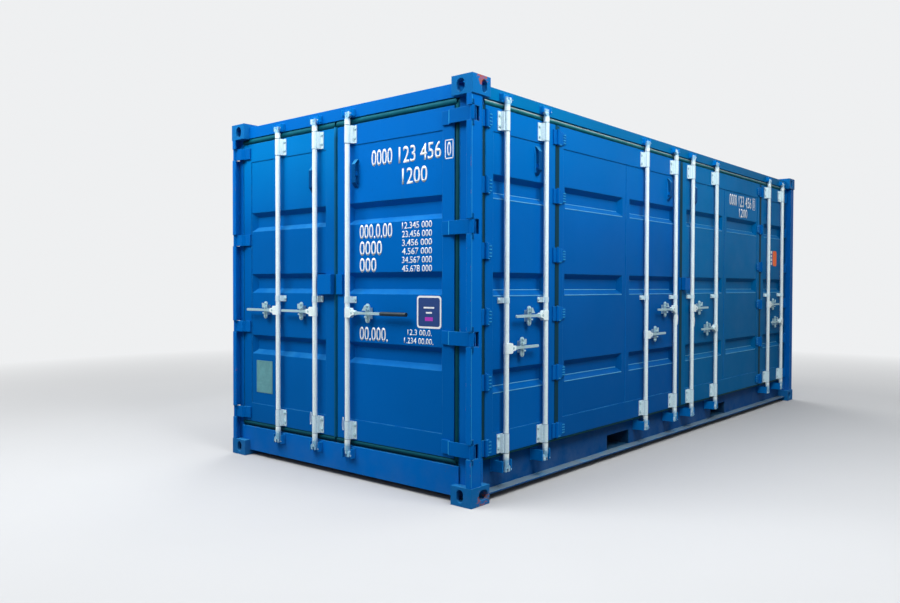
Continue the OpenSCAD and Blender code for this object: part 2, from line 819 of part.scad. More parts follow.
module side_rod_brackets() {
  color(zinc) on_side() for (x = side_rod_x) rod_at(x) mirror([1, 0, 0]) {
    rod_bracket(bracket_high - bracket_h, bracket_high, leaf_in, 58);
    rod_bracket(high_handle_z + 87, high_handle_z + 122, leaf_in + panel_in, 50);
    rod_bracket(bracket_low, bracket_low + bracket_h, leaf_in, 58);
  }
}

module side_handle_catches() {
  color(dull_zinc) on_side() for (i = [0:7])
    rod_at(side_rod_x[i] + side_handle_dir[i] * catch_side)
      handle_catch(leaf_in + panel_in, side_handle_z[i], side_handle_dir[i]);
}

module side_overlap_lock() {
  color(steel_blue) on_side() {
    span([-mid_gap / 2 - 25, leaf_in - 8, 1300], [-mid_gap / 2 - 1, leaf_in, 1410]);
    span([mid_gap / 2 + 3, leaf_in - 40, 1300], [118, leaf_in, 1410]);
  }
}

// A hold-back: a low plate on a panel with a peg standing out from it.
module holdback(x, face, z, w, h, peg_z) {
  span([x - w / 2, face + panel_in - 4, z], [x + w / 2, face + panel_in, z + h]);
  span([x - w / 5, face - 26, z + peg_z], [x + w / 5, face + panel_in - 4, z + peg_z + 25]);
}

module side_holdbacks() {
  color(steel_blue) on_side() for (s = [-1, 1], x = leaf_hold_x)
    holdback(s * x, leaf_in, leaf_hold_z, 50, 160, 35);
}

// End doors.

// All door pieces are drawn on the end face, where X is minus the frame's Y.
// A door leaf: its welded frame with the pressed panel let in.
module end_door(y) {
  x0 = -y[1] + stile;
  x1 = -y[0] - stile;
  on_end() {
    door_frame(-y[1], -y[0], door_z0, door_z1, door_in, stile, panel_z0, panel_z1);
    pressed_panel(x0 - 0.01, x1 + 0.01, panel_z0 - 0.01, panel_z1 + 0.01, door_in + panel_in,
      end_press, [[x0 + 6, x1 - 6]]);
  }
}

// The gasket runs round the frame, wide at the post, head and foot, and narrow at the gap.
module end_gasket(y, y_out) {
  on_end() difference() {
    span([-y_out[1], door_in + 8, seal_foot], [-y_out[0], door_in + 38, seal_top]);
    span([-y[1], 0, door_z0], [-y[0], 200, door_z1]);
  }
}

// A hinge blade in plan: knuckle round the pin, straight arm past the post, step down to the door.
module blade_outline(reach, step) {
  b0 = pin_in + knuckle_r;
  a0 = b0 - blade_t;
  b1 = door_in;
  a1 = door_in - blade_t;
  translate([pin_side, pin_in]) circle(r = knuckle_r);
  polygon([[pin_side, a0], [step - 4, a0], [step + 22, a1], [reach, a1], [reach, b1],
           [step + 18, b1], [step - 8, b0], [pin_side, b0]]);
}

// Blades for the door hung at the +X end of the end face (the others are mirrored).
module end_hinges(reach) {
  for (z = door_hinge_z) translate([0, 0, z - blade_h / 2])
    difference() {
      linear_extrude(height = blade_h) translate([-hy, 0]) blade_outline(reach, reach - blade_foot);
      translate([-hy + pin_side, pin_in, -1]) cylinder(r = pin_r + play, h = blade_h + 2);
    }
}

module end_brackets(ys) {
  on_end() for (y = ys) rod_at(-y) {
    rod_bracket(bracket_high - bracket_h, bracket_high, door_in, 58);
    rod_bracket(end_handle_z + 68, end_handle_z + 112, door_in + panel_in, 50);
    rod_bracket(bracket_low, bracket_low + bracket_h, door_in, 58);
  }
}

module left_door_leaf() { color(steel_blue) end_door(left_door); }
module left_door_gasket() {
  color(rubber) end_gasket(left_door, [left_door[0] - seal_mid, far_y - 5]);
}
module left_door_hinges() { color(steel_blue) on_end() end_hinges(hy - left_door[1] + 92); }
module left_door_brackets() { color(zinc) end_brackets([rod_y[0], rod_y[1]]); }
module left_door_catches() {
  color(dull_zinc) on_end() for (i = [0, 1]) rod_at(-rod_y[i] - catch_end)
    handle_catch(door_in + panel_in, end_handle_z, -1);
}
module left_door_lock_box() {
  color(steel_blue) on_end() difference() {
    span([-200, 12, 1270], [-left_door[0], door_in, 1410]);
    span([-194, 18, 1260], [-left_door[0] - 6, door_in - 6, 1404]);
  }
}
module left_door_holdback() {
  color(steel_blue) on_end() holdback(-rod_y[1] - 54, door_in, door_hold_z, 56, 130, 50);
}
module data_plate() {
  color(plate_green) on_end()
    span([-plate_y, door_in + panel_in - 2, plate_z], [200 - plate_y, door_in + panel_in, plate_z + 250]);
}

module right_door_leaf() { color(steel_blue) end_door(right_door); }
module right_door_gasket() {
  color(rubber) end_gasket(right_door, [near_y + 5, right_door[1] + seal_mid]);
}
module right_door_hinges() {
  color(steel_blue) on_end() mirror([1, 0, 0]) end_hinges(right_door[0] + hy + 92);
}
module right_door_brackets() { color(zinc) end_brackets([rod_y[2]]); }
module right_door_catch() {
  color(dull_zinc) on_end() rod_at(-rod_y[2] + catch_c)
    handle_catch(door_in + panel_in, end_handle_z, 1);
}
module right_door_lock_bracket() {
  color(steel_blue) on_end() span([-right_door[1], door_in - 14, 1270], [30, door_in, 1410]);
}
module right_door_holdback() {
  color(steel_blue) on_end() holdback(-rod_y[2] + 54, door_in, door_hold_z, 56, 130, 50);
}

module lock_rod_a() { color(zinc) on_end() rod_at(-rod_y[0]) lock_rod(-1, end_handle_z); }
module handle_a() { color(dull_zinc) on_end() rod_at(-rod_y[0]) handle_bar(-1, 380, end_handle_z); }
module lock_rod_b() { color(zinc) on_end() rod_at(-rod_y[1]) lock_rod(-1, end_handle_z); }
module handle_b() { color(dull_zinc) on_end() rod_at(-rod_y[1]) handle_bar(-1, 374, end_handle_z); }
module lock_rod_c() { color(zinc) on_end() rod_at(-rod_y[2]) lock_rod(1, end_handle_z); }
module handle_c() { color(dull_zinc) on_end() rod_at(-rod_y[2]) handle_bar(1, 350, end_handle_z); }
// The hand grip is pushed over the bar's end.
module handle_c_grip() {
  color(plastic) on_end() rod_at(-rod_y[2]) difference() {
    translate([330, bar_y + bar_t / 2, end_handle_z]) rotate([0, 90, 0])
      cylinder(r = 13.5, h = 232);
    handle_bar(1, 350, end_handle_z);
  }
}

bottom_castings();
top_castings();
door_end_posts();
blind_end_posts();
door_header();
door_sill();
blind_end_rails();
folding_side_top_rail();
folding_side_bottom_rail();
plain_side_rails();
blind_end_wall();
plain_side_wall();
roof();
cross_members();
fork_pockets();
floor_boards();
door_hinge_lugs();
cam_keepers();
side_leaf_1();
side_leaf_2();
side_leaf_3();
side_leaf_4();
side_gaskets();
side_hinges();
side_lock_rods();
side_rod_brackets();
side_handles();
side_handle_catches();
side_overlap_lock();
side_holdbacks();
left_door_leaf();
left_door_gasket();
left_door_hinges();
left_door_brackets();
left_door_catches();
left_door_lock_box();
left_door_holdback();
data_plate();
right_door_leaf();
right_door_gasket();
right_door_hinges();
right_door_brackets();
right_door_catch();
right_door_lock_bracket();
right_door_holdback();
lock_rod_a();
handle_a();
lock_rod_b();
handle_b();
lock_rod_c();
handle_c();
handle_c_grip();
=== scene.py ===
# Shipping container with swing doors in the end and folding leaves along one side: the looks.
import math
import random

import bmesh
import bpy
from mathutils import Matrix, Vector


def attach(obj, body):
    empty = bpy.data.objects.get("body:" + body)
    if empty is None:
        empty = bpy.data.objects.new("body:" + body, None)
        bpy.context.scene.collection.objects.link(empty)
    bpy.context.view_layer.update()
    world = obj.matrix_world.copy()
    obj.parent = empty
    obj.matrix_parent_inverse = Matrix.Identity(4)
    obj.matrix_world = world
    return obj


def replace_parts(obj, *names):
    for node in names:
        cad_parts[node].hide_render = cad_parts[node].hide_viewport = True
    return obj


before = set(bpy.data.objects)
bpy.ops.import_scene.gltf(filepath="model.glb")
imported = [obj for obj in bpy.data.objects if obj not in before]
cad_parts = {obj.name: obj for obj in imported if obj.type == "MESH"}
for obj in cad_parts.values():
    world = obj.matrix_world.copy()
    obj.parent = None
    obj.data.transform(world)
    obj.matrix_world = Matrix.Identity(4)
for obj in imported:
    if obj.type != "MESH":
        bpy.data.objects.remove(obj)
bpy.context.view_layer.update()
rng = random.Random(20)

# Sizes and places, in metres. They repeat the part's own dimensions.
HALF_L, HALF_W = 3.029, 1.219
ROD_IN = 0.020
DOOR_IN, PANEL_IN = 0.055, 0.059
LEAF_IN, LEAF_PANEL_IN = 0.052, 0.056
BODY, LEFT, RIGHT = "container", "left_end_door", "right_end_door"
END_RODS = {"lock_rod_a_body": 0.660, "lock_rod_b_body": 0.236, "lock_rod_c_body": -0.108}
END_GEAR = ((LEFT, ("lock_rod_a_body", "lock_rod_b_body")), (RIGHT, ("lock_rod_c_body",)))
HANDLE_DIR = {"lock_rod_a_body": 1, "lock_rod_b_body": 1, "lock_rod_c_body": -1}
END_HANDLE_Z = 1.145
SIDE_RODS = [-2.655, -2.210, -0.730, -0.178, 0.178, 0.730, 2.210, 2.655]
SIDE_HANDLE_Z = [0.935, 1.135, 0.935, 1.135, 1.135, 0.935, 1.135, 0.935]
SIDE_HANDLE_DIR = [1, -1, 1, -1, 1, -1, 1, -1]
CATCH_SIDE, CATCH_END, CATCH_C = 0.183, 0.162, 0.192
CATCH_FACE, CATCH_BOLT_Z, CATCH_BOLT_R = 0.025, 0.050, 0.007
PIVOT = 0.056
LEAF_HINGE_Z = [0.330 + 0.405 * i for i in range(6)]
DOOR_HINGE_Z = [0.335 + 0.675 * i for i in range(4)]
REBATE_X, POST_X = 2.920, 2.851
POST_FOOT, POST_HEAD = 0.118, 2.473
FLOOR_TOP = 0.225
LIFT = 0.0002

# Directions. The door end looks towards -X and the folding side towards -Y.
UP, ALONG, ACROSS = Vector((0, 0, 1)), Vector((1, 0, 0)), Vector((0, 1, 0))
END_OUT, SIDE_OUT = Vector((-1, 0, 0)), Vector((0, -1, 0))

BACKDROP = (0.86, 0.87, 0.88, 1)


# Scene: camera, light, floor.

def linked(name, data):
    """An object with this data, in the scene."""
    obj = bpy.data.objects.new(name, data)
    bpy.context.scene.collection.objects.link(obj)
    return obj


def plain_view():
    bpy.context.scene.view_settings.view_transform = "Standard"


def add_camera():
    """The photo's viewpoint, from a fit to the box's corners."""
    place, azimuth, elevation, roll = (-6.640, -4.124, 1.326), 40.41, -1.096, 0.127
    data = bpy.data.cameras.new("camera")
    data.sensor_width = 36.0
    data.sensor_fit = "HORIZONTAL"
    data.lens = 31.31
    data.clip_end = 200.0
    matrix = Matrix.Translation(place)
    for degrees, axis in ((azimuth - 90, "Z"), (elevation + 90, "X"), (roll, "Z")):
        matrix = matrix @ Matrix.Rotation(math.radians(degrees), 4, axis)
    obj = linked("camera", data)
    obj.matrix_world = matrix
    bpy.context.scene.camera = obj


def add_area(name, place, target, size, power, colour=(1.0, 1.0, 1.0)):
    """A soft light at a place, aimed at a target."""
    data = bpy.data.lights.new(name, "AREA")
    data.shape = "RECTANGLE"
    data.size, data.size_y = size
    data.energy = power
    data.color = colour
    obj = linked(name, data)
    obj.location = place
    obj.rotation_euler = (Vector(target) - Vector(place)).to_track_quat("-Z", "Y").to_euler()


def add_world():
    """Soft light from above. The camera and mirror-like rays see a plain backdrop in its place."""
    bpy.context.scene.world = bpy.data.worlds.new("studio")
    t = Tree(bpy.context.scene.world)
    height = t.parts(t.new("TexCoord").outputs["Generated"])["Z"]
    colour = t.mix(t.ramp(height, -0.12, 0.44), (0.12, 0.13, 0.14), (1.0, 1.0, 1.0))
    light = t.fill(t.new("Background"), {"Color": colour, "Strength": 0.36})
    seen = t.fill(t.new("Background"), {"Color": BACKDROP})
    rays = t.new("LightPath").outputs
    shown = t.math("MAXIMUM", rays["Is Camera Ray"], rays["Is Glossy Ray"])
    shown = t.math("MAXIMUM", shown, rays["Is Transmission Ray"])
    t.finish("World", t.blend(shown, light, seen))


def add_floor():
    size = 60.0
    mesh = bpy.data.meshes.new("floor")
    mesh.from_pydata([(-size, -size, 0), (size, -size, 0), (size, size, 0), (-size, size, 0)],
                     [], [(0, 1, 2, 3)])
    mesh.materials.append(floor_material())
    obj = linked("floor", mesh)


# Materials. Each is a small tree over the Principled shader.

class Tree:
    """The node tree of a material or world, with short calls for what is used here."""

    def __init__(self, owner):
        owner.use_nodes = True
        self.owner, self.tree = owner, owner.node_tree
        self.tree.nodes.clear()
        self.coord = self.new("TexCoord").outputs["Object"]

    def new(self, kind):
        return self.tree.nodes.new("ShaderNode" + kind)

    def link(self, a, b):
        self.tree.links.new(a, b)

    def put(self, socket, value):
        if isinstance(value, bpy.types.NodeSocket):
            self.link(value, socket)
        else:
            socket.default_value = value

    def fill(self, node, values):
        """Puts values into a node's named inputs."""
        for name, value in values.items():
            self.put(node.inputs[name], value)
        return node

    def blend(self, factor, a, b):
        """Mixes two shader nodes."""
        node = self.new("MixShader")
        for socket, value in zip(node.inputs, (factor, a.outputs[0], b.outputs[0])):
            self.link(value, socket)
        return node

    def finish(self, kind, shader):
        """Links a shader node to the output and gives the tree's owner."""
        self.link(shader.outputs[0], self.new("Output" + kind).inputs["Surface"])
        return self.owner

    def surface(self, values):
        return self.finish("Material", self.fill(self.new("BsdfPrincipled"), values))

    def stretched(self, scale):
        return self.fill(self.new("Mapping"), {"Scale": scale, "Vector": self.coord}).outputs[0]

    def noise(self, scale, detail=4.0, rough=0.55, vector=None, distortion=0.0):
        values = {"Scale": scale, "Detail": detail, "Roughness": rough, "Distortion": distortion,
                  "Vector": vector or self.coord}
        return self.fill(self.new("TexNoise"), values).outputs["Fac"]

    def ramp(self, value, low, high, out_low=0.0, out_high=1.0):
        values = {"Value": value, "From Min": low, "From Max": high, "To Min": out_low,
                  "To Max": out_high}
        return self.fill(self.new("MapRange"), values).outputs[0]

    def worked_out(self, kind, op, a, b):
        node = self.new(kind)
        node.operation = op
        self.put(node.inputs[0], a)
        self.put(node.inputs[1], b)
        return node.outputs["Value"]

    def math(self, op, a, b):
        return self.worked_out("Math", op, a, b)

    def times(self, a, b):
        return self.math("MULTIPLY", a, b)

    def vector_value(self, op, a, b=(0.0, 0.0, 0.0)):
        return self.worked_out("VectorMath", op, a, b)

    def mix(self, factor, a, b):
        node = self.new("Mix")
        node.data_type = "RGBA"
        self.put(node.inputs[0], factor)
        for socket, value in ((node.inputs[6], a), (node.inputs[7], b)):
            self.put(socket, (*value, 1.0) if isinstance(value, tuple) else value)
        return node.outputs[2]

    def parts(self, vector):
        return self.fill(self.new("SeparateXYZ"), {"Vector": vector}).outputs

    def face_normal(self):
        return self.new("NewGeometry").outputs["True Normal"]

    def bump(self, height, strength, distance, normal=None):
        values = {"Strength": strength, "Distance": distance, "Height": height}
        if normal is not None:
            values["Normal"] = normal
        return self.fill(self.new("Bump"), values).outputs[0]

    def soft_edge(self, radius):
        node = self.fill(self.new("Bevel"), {"Radius": radius})
        node.samples = 4
        return node.outputs[0]


def material_tree(name):
    return Tree(bpy.data.materials.new(name))


NEAR_SCUFFS = [((-2.935, -1.219, 2.590), 0.095), ((-2.900, -1.219, 0.030), 0.110)]


def near_places(t, places):
    """1 close to any of the given places, fading to 0 at their radius."""
    total = None
    for place, radius in places:
        close = t.ramp(t.vector_value("DISTANCE", t.coord, place), radius, radius * 0.35)
        total = close if total is None else t.math("MAXIMUM", total, close)
    return total


# Tints of the paint: run-off, dust, painted light and shade on ledges and high parts, painted highlights and
# worn bare edges, primer and rust.
RUN_OFF, LOW_DUST, GRIT = (0.02, 0.17, 0.36), (0.16, 0.21, 0.25), (0.17, 0.21, 0.22)
LEDGE_LIGHT, LEDGE_SHADE, SKY_LIT = (0.05, 0.36, 0.66), (0.0, 0.075, 0.26), (0.0, 0.185, 0.520)
EDGE_HIGHLIGHT, BARE_EDGE = (0.05, 0.32, 0.58), (0.42, 0.10, 0.05)
PRIMER, OLD_PRIMER = (0.40, 0.080, 0.045), (0.16, 0.12, 0.11)
RUST, DARK_RUST = (0.22, 0.062, 0.020), (0.07, 0.030, 0.018)


def scaled(colour, factor):
    return tuple(min(1.0, c * factor) for c in colour)


def paint_material(name, base, rust=0.0, scuff=0.0, dust=0.35, grime=1.0, ledge=0.30, shade=0.0,
                   ledge_tone=LEDGE_LIGHT, turn=0.0, edge_rust=0.0, lift=0.0):
    """Sprayed container paint: tone drift, run-off streaks, dust, painted light on ledges and edges, scuffs
    and rust.

    shade paints shade that deepens towards the floor, lift paints sky light towards the roof, turn
    paints shade on what faces the door end, and ledge_tone LEDGE_SHADE paints the ledges in shade."""
    t = material_tree(name)
    colour = t.mix(t.ramp(t.noise(0.9, 3.0), 0.32, 0.68), scaled(base, 0.91), scaled(base, 1.09))
    streak = t.noise(1.0, 5.0, 0.6, t.stretched((11, 11, 0.55)))
    colour = t.mix(t.ramp(streak, 0.56, 0.85, 0.0, 0.14 * grime), colour, RUN_OFF)
    speck = t.ramp(t.noise(46, 2.0), 0.68, 0.76, 0.0, 0.25 * grime)
    colour = t.mix(speck, colour, scaled(base, 0.45))
    normal = t.face_normal()
    facing = t.parts(normal)
    height = t.parts(t.coord)["Z"]
    # Painted light on what faces up, in ledge_tone: LEDGE_LIGHT paints a highlight, LEDGE_SHADE paints shade.
    painted_ledge_mask = t.times(t.ramp(facing["Z"], 0.30, 0.70), t.ramp(t.noise(7.0, 5.0), 0.2, 0.6))
    colour = t.mix(t.times(painted_ledge_mask, ledge), colour, ledge_tone)
    # Painted shade on what faces the door end.
    if turn > 0:
        colour = t.mix(t.ramp(facing["X"], -0.30, -0.60, 0.0, turn), colour, LEDGE_SHADE)
    # Painted shade, deepening towards the floor.
    if shade > 0:
        colour = t.mix(t.ramp(height, 1.95, 1.0, 0.0, shade), colour, scaled(base, 0.55))
    # Painted sky light, growing towards the roof.
    if lift > 0:
        colour = t.mix(t.ramp(height, 1.75, 2.35, 0.0, lift), colour, SKY_LIT)
    if ledge > 0.5:
        grit = t.times(t.ramp(facing["Z"], 0.5, 0.8), t.ramp(t.noise(11.0, 5.0), 0.2, 0.5))
        grit = t.times(grit, t.ramp(height, 0.45, 0.30))
        colour = t.mix(t.times(grit, 0.75), colour, GRIT)
    low = t.times(t.ramp(height, 0.30, 0.02), t.ramp(t.noise(5.0, 6.0, 0.7), 0.35, 0.80))
    colour = t.mix(t.times(low, dust), colour, LOW_DUST)
    # A lighter tone along edges: a painted highlight.
    soft = t.soft_edge(0.0042)
    bent = t.vector_value("DOT_PRODUCT", soft, normal)
    edge = t.times(t.ramp(bent, 0.985, 0.88), t.ramp(t.noise(7.0, 5.0, 0.7), 0.40, 0.58))
    colour = t.mix(t.times(edge, 0.50), colour, EDGE_HIGHLIGHT)
    if edge_rust > 0:
        bare = t.times(edge, t.ramp(t.noise(16, 4.0, 0.7), 0.60, 0.66, 0.0, edge_rust))
        colour = t.mix(bare, colour, BARE_EDGE)
    rough = t.ramp(t.noise(3.0, 5.0, 0.6), 0.3, 0.7, 0.42, 0.56)
    if scuff > 0:
        worn = t.noise(1.0, 6.0, 0.75, t.stretched((14, 14, 30)), 0.6)
        lifted = t.math("ADD", worn, t.times(near_places(t, NEAR_SCUFFS), 0.20 * scuff))
        mask = t.ramp(lifted, 0.67, 0.71, 0.0, 0.92)
        primer = t.mix(t.ramp(t.noise(38, 3.0), 0.4, 0.6), PRIMER, OLD_PRIMER)
        colour = t.mix(mask, colour, primer)
        rough = t.math("ADD", rough, t.times(mask, 0.3))
    if rust > 0:
        spots = t.ramp(t.noise(24, 7.0, 0.72), 0.71 - 0.10 * rust, 0.75 - 0.10 * rust)
        colour = t.mix(spots, colour, t.mix(t.noise(70, 3.0), RUST, DARK_RUST))
        rough = t.math("ADD", rough, t.times(spots, 0.3))
    dents = t.bump(t.noise(2.2, 2.0, 0.5), 0.16, 0.02, soft)
    return t.surface({"Base Color": colour, "Roughness": rough, "Specular IOR Level": 0.045,
                      "Specular Tint": (0.02, 0.45, 0.85, 1.0),
                      "Normal": t.bump(t.noise(240, 3.0, 0.6), 0.05, 0.001, dents)})


def zinc_material(name, base, rough_low, rough_high, metal, ends=False):
    """Hot-dip zinc: spangles, run-off stains and dull patches. Blue paint is left on the ends of rods."""
    t = material_tree(name)
    cells = t.fill(t.new("TexVoronoi"), {"Scale": 150, "Vector": t.coord})
    grey = t.fill(t.new("RGBToBW"), {"Color": cells.outputs["Color"]})
    colour = t.mix(t.ramp(grey.outputs[0], 0.2, 0.8), scaled(base, 0.94), scaled(base, 1.05))
    stain = t.noise(1.0, 5.0, 0.65, t.stretched((22, 22, 3)))
    colour = t.mix(t.ramp(stain, 0.60, 0.84, 0.0, 0.26), colour, (0.42, 0.46, 0.48))
    if ends:
        rod_middle = 1.352
        off_middle = t.math("ABSOLUTE", t.math("SUBTRACT", t.parts(t.coord)["Z"], rod_middle), 0.0)
        painted = t.times(t.ramp(off_middle, 1.095, 1.125), t.ramp(t.noise(30, 4.0, 0.7), 0.32, 0.52))
        colour = t.mix(t.times(painted, 0.75), colour, (0.03, 0.34, 0.60))
    return t.surface({"Base Color": colour, "Roughness": t.ramp(stain, 0.3, 0.75, rough_low, rough_high),
                      "Metallic": metal,
                      "Normal": t.bump(t.noise(160, 4.0, 0.6), 0.05, 0.001, t.soft_edge(0.002))})


def rubber_material(name, deep, chalky, ledge=0.0):
    """Gasket rubber, chalky in places, with painted shade below the head and a painted highlight on what
    faces up.
    """
    t = material_tree(name)
    colour = t.mix(t.ramp(t.noise(14, 5.0, 0.65), 0.42, 0.75, 0.0, 0.55), deep, chalky)
    # Painted shade: much darker below the head, where the gaskets sit in the gaps.
    colour = t.mix(t.ramp(t.parts(t.coord)["Z"], 2.42, 2.36, 0.0, 0.62), colour, (0.0, 0.016, 0.026))
    # Painted highlight on what faces up.
    if ledge > 0:
        facing = t.parts(t.face_normal())
        lying = t.times(t.ramp(facing["Z"], 0.15, 0.45), t.ramp(t.noise(9.0, 4.0), 0.1, 0.5, 0.5))
        colour = t.mix(t.times(lying, ledge), colour, (0.46, 0.56, 0.58))
    return t.surface({"Base Color": colour, "Roughness": 0.62, "Specular IOR Level": 0.25,
                      "Specular Tint": (0.1, 0.7, 0.9, 1.0),
                      "Normal": t.bump(t.noise(90, 3.0), 0.15, 0.002, t.soft_edge(0.002))})


def plywood_material():
    """Face veneer with grain along the box, a stain coat, and scratches from goods."""
    t = material_tree("floor_plywood")
    grain = t.noise(1.0, 7.0, 0.62, t.stretched((1.6, 46, 46)), 0.4)
    colour = t.mix(t.ramp(grain, 0.32, 0.70), (0.085, 0.042, 0.022), (0.26, 0.145, 0.075))
    colour = t.mix(t.ramp(t.noise(2.4, 4.0), 0.40, 0.70, 0.0, 0.6), colour, (0.16, 0.12, 0.09))
    scratch = t.ramp(t.noise(1.0, 2.0, 0.5, t.stretched((2.0, 90, 90))), 0.70, 0.74, 0.0, 0.6)
    return t.surface({"Base Color": t.mix(scratch, colour, (0.42, 0.30, 0.19)),
                      "Roughness": t.ramp(grain, 0.3, 0.7, 0.45, 0.75),
                      "Normal": t.bump(grain, 0.25, 0.002)})


def plain_material(name, base, rough, speckle=0.15, scale=30.0, metal=0.0):
    """A painted or moulded surface with a little mottling."""
    t = material_tree(name)
    spots = t.ramp(t.noise(scale, 4.0, 0.6), 0.35, 0.70, 0.0, speckle)
    return t.surface({"Base Color": t.mix(spots, base, scaled(base, 0.5)),
                      "Roughness": t.ramp(t.noise(scale * 2, 3.0), 0.3, 0.7, rough, rough + 0.15),
                      "Metallic": metal,
                      "Normal": t.bump(t.noise(scale * 6, 2.0), 0.06, 0.001)})


def marking_material():
    """White stencil paint, thin and slightly broken."""
    t = material_tree("marking_white")
    thin = t.ramp(t.noise(60, 5.0, 0.7), 0.60, 0.80, 0.0, 0.45)
    return t.surface({"Base Color": t.mix(thin, (0.78, 0.82, 0.84), (0.10, 0.28, 0.48)),
                      "Roughness": 0.5})


def floor_material():
    """A pale studio floor. It fades into the backdrop's tone far from the object."""
    t = material_tree("studio_floor")
    path = t.new("LightPath").outputs["Is Camera Ray"]
    drift = t.mix(t.ramp(t.noise(0.8, 3.0), 0.3, 0.7, 0.0, 0.3), (0.44, 0.45, 0.46), (0.41, 0.42, 0.43))
    colour = t.mix(path, (0.14, 0.145, 0.15), drift)
    near = t.fill(t.new("BsdfPrincipled"), {"Base Color": colour, "Roughness": 0.85})
    far = t.times(t.ramp(t.vector_value("LENGTH", t.coord), 4.5, 10.5), path)
    glow = t.fill(t.new("Emission"), {"Color": BACKDROP})
    return t.finish("Material", t.blend(far, near, glow))


BLUE, DEEP = (0.0, 0.112, 0.425), (0.000, 0.061, 0.230)
# LEAF paints shade: a darker tone on ledges and on what faces the door end.
LEAF = {"ledge": 0.45, "ledge_tone": LEDGE_SHADE, "turn": 0.45}
M = {
    "paint": paint_material("container_blue", BLUE),
    # The leaf, door and rail looks are lit and shaded copies of one paint: painted shade low down, painted
    # sky light high up, and brighter or darker bases for more or less light; the far leaves' tealer base is a
    # painted haze.
    "paint_leaf": paint_material("leaf_blue", BLUE, shade=0.60, lift=0.35, **LEAF),
    "paint_leaf_far": paint_material("leaf_blue_far", (0.0, 0.158, 0.425), shade=0.60, **LEAF),
    "paint_leaf_near": paint_material("leaf_blue_near", BLUE, shade=0.25, lift=0.35, **LEAF),
    "paint_right": paint_material("right_door_blue", (0.0, 0.128, 0.490), ledge=0.22, shade=0.45),
    "paint_left": paint_material("left_door_blue", (0.0, 0.107, 0.395), ledge=0.25, shade=0.20, lift=0.8),
    "paint_rail": paint_material("top_rail_blue", (0.0, 0.145, 0.370), dust=0.1),
    # Light blues for painted highlights on the recess creases and on the leaf hinges' ridges.
    "crease": paint_material("crease_blue", (0.13, 0.42, 0.66), dust=0.1, grime=0.5, ledge=0.1),
    "hinge_mark": paint_material("hinge_mark_blue", (0.03, 0.30, 0.58), dust=0.1, grime=0.5, ledge=0.1),
    # A lighter copy of the paint: painted light on the shaded keepers and hold-backs.
    "keeper": paint_material("keeper_blue", (0.0, 0.165, 0.540), rust=0.2, dust=0.1, ledge=0.1),
    # A light blue for painted highlights along the posts' corners and the hinge blades' bends.
    "paint_edge": paint_material("edge_blue", (0.02, 0.30, 0.66), dust=0.1, grime=0.3),
    "paint_worn": paint_material("container_blue_worn", (0.0, 0.126, 0.485), rust=0.25, dust=0.15,
                                 edge_rust=0.9),
    "cast": paint_material("casting_blue", (0.004, 0.132, 0.395), rust=0.3, scuff=1.0, dust=0.15,
                           edge_rust=0.7),
    "paint_deep": paint_material("rail_blue", DEEP, rust=0.15, dust=0.35, ledge=0.6),
    # Near-black blue: painted shade inside the fork pockets.
    "base_dark": paint_material("pocket_blue", (0.0, 0.030, 0.090), rust=0.6, dust=0.3, ledge=0.1),
    "base": paint_material("base_blue", DEEP, rust=0.6, dust=0.9),
    # The pale blue-tinted zinc bases hold a painted sky reflection over the zinc's own grey.
    "zinc": zinc_material("rod_zinc", (0.82, 0.96, 1.0), 0.30, 0.48, 0.12, True),
    "zinc_dull": zinc_material("handle_zinc", (0.42, 0.62, 0.68), 0.38, 0.58, 0.40),
    "zinc_plate": zinc_material("bracket_zinc", (0.66, 0.84, 0.90), 0.36, 0.55, 0.20),
    "rubber": rubber_material("gasket_rubber", (0.0, 0.080, 0.120), (0.006, 0.125, 0.170)),
    # Near-black rubber for the strips that paint the shadow in the gaps.
    "rubber_gap_shade": rubber_material("gap_shade_rubber", (0.0, 0.042, 0.078), (0.0, 0.060, 0.100)),
    "rubber_middle": rubber_material("middle_rubber", (0.0, 0.150, 0.380), (0.004, 0.180, 0.420)),
    # ledge 0.85: a strong painted highlight on the top of the head lip.
    "rubber_lit_top": rubber_material("gasket_lit_top", (0.003, 0.115, 0.140), (0.02, 0.20, 0.22), 0.85),
    "plywood": plywood_material(),
    "joint_dark": plain_material("joint_line", (0.10, 0.22, 0.34), 0.55),
    "plastic": plain_material("grip_plastic", (0.001, 0.016, 0.028), 0.42),
    "plate": plain_material("data_plate_metal", (0.125, 0.350, 0.390), 0.42, 0.35, 18.0, 0.2),
    "label": plain_material("label_orange", (1.0, 0.150, 0.006), 0.45, 0.05),
    "frame_white": plain_material("label_white", (0.82, 0.84, 0.86), 0.40, 0.05),
    "label_dark": plain_material("label_field", (0.004, 0.040, 0.190), 0.35),
    "label_pink": plain_material("label_pink", (0.42, 0.03, 0.45), 0.40, 0.05),
    "mark": marking_material(),
    "seal": plain_material("seal_white", (0.80, 0.82, 0.82), 0.45, 0.08),
}

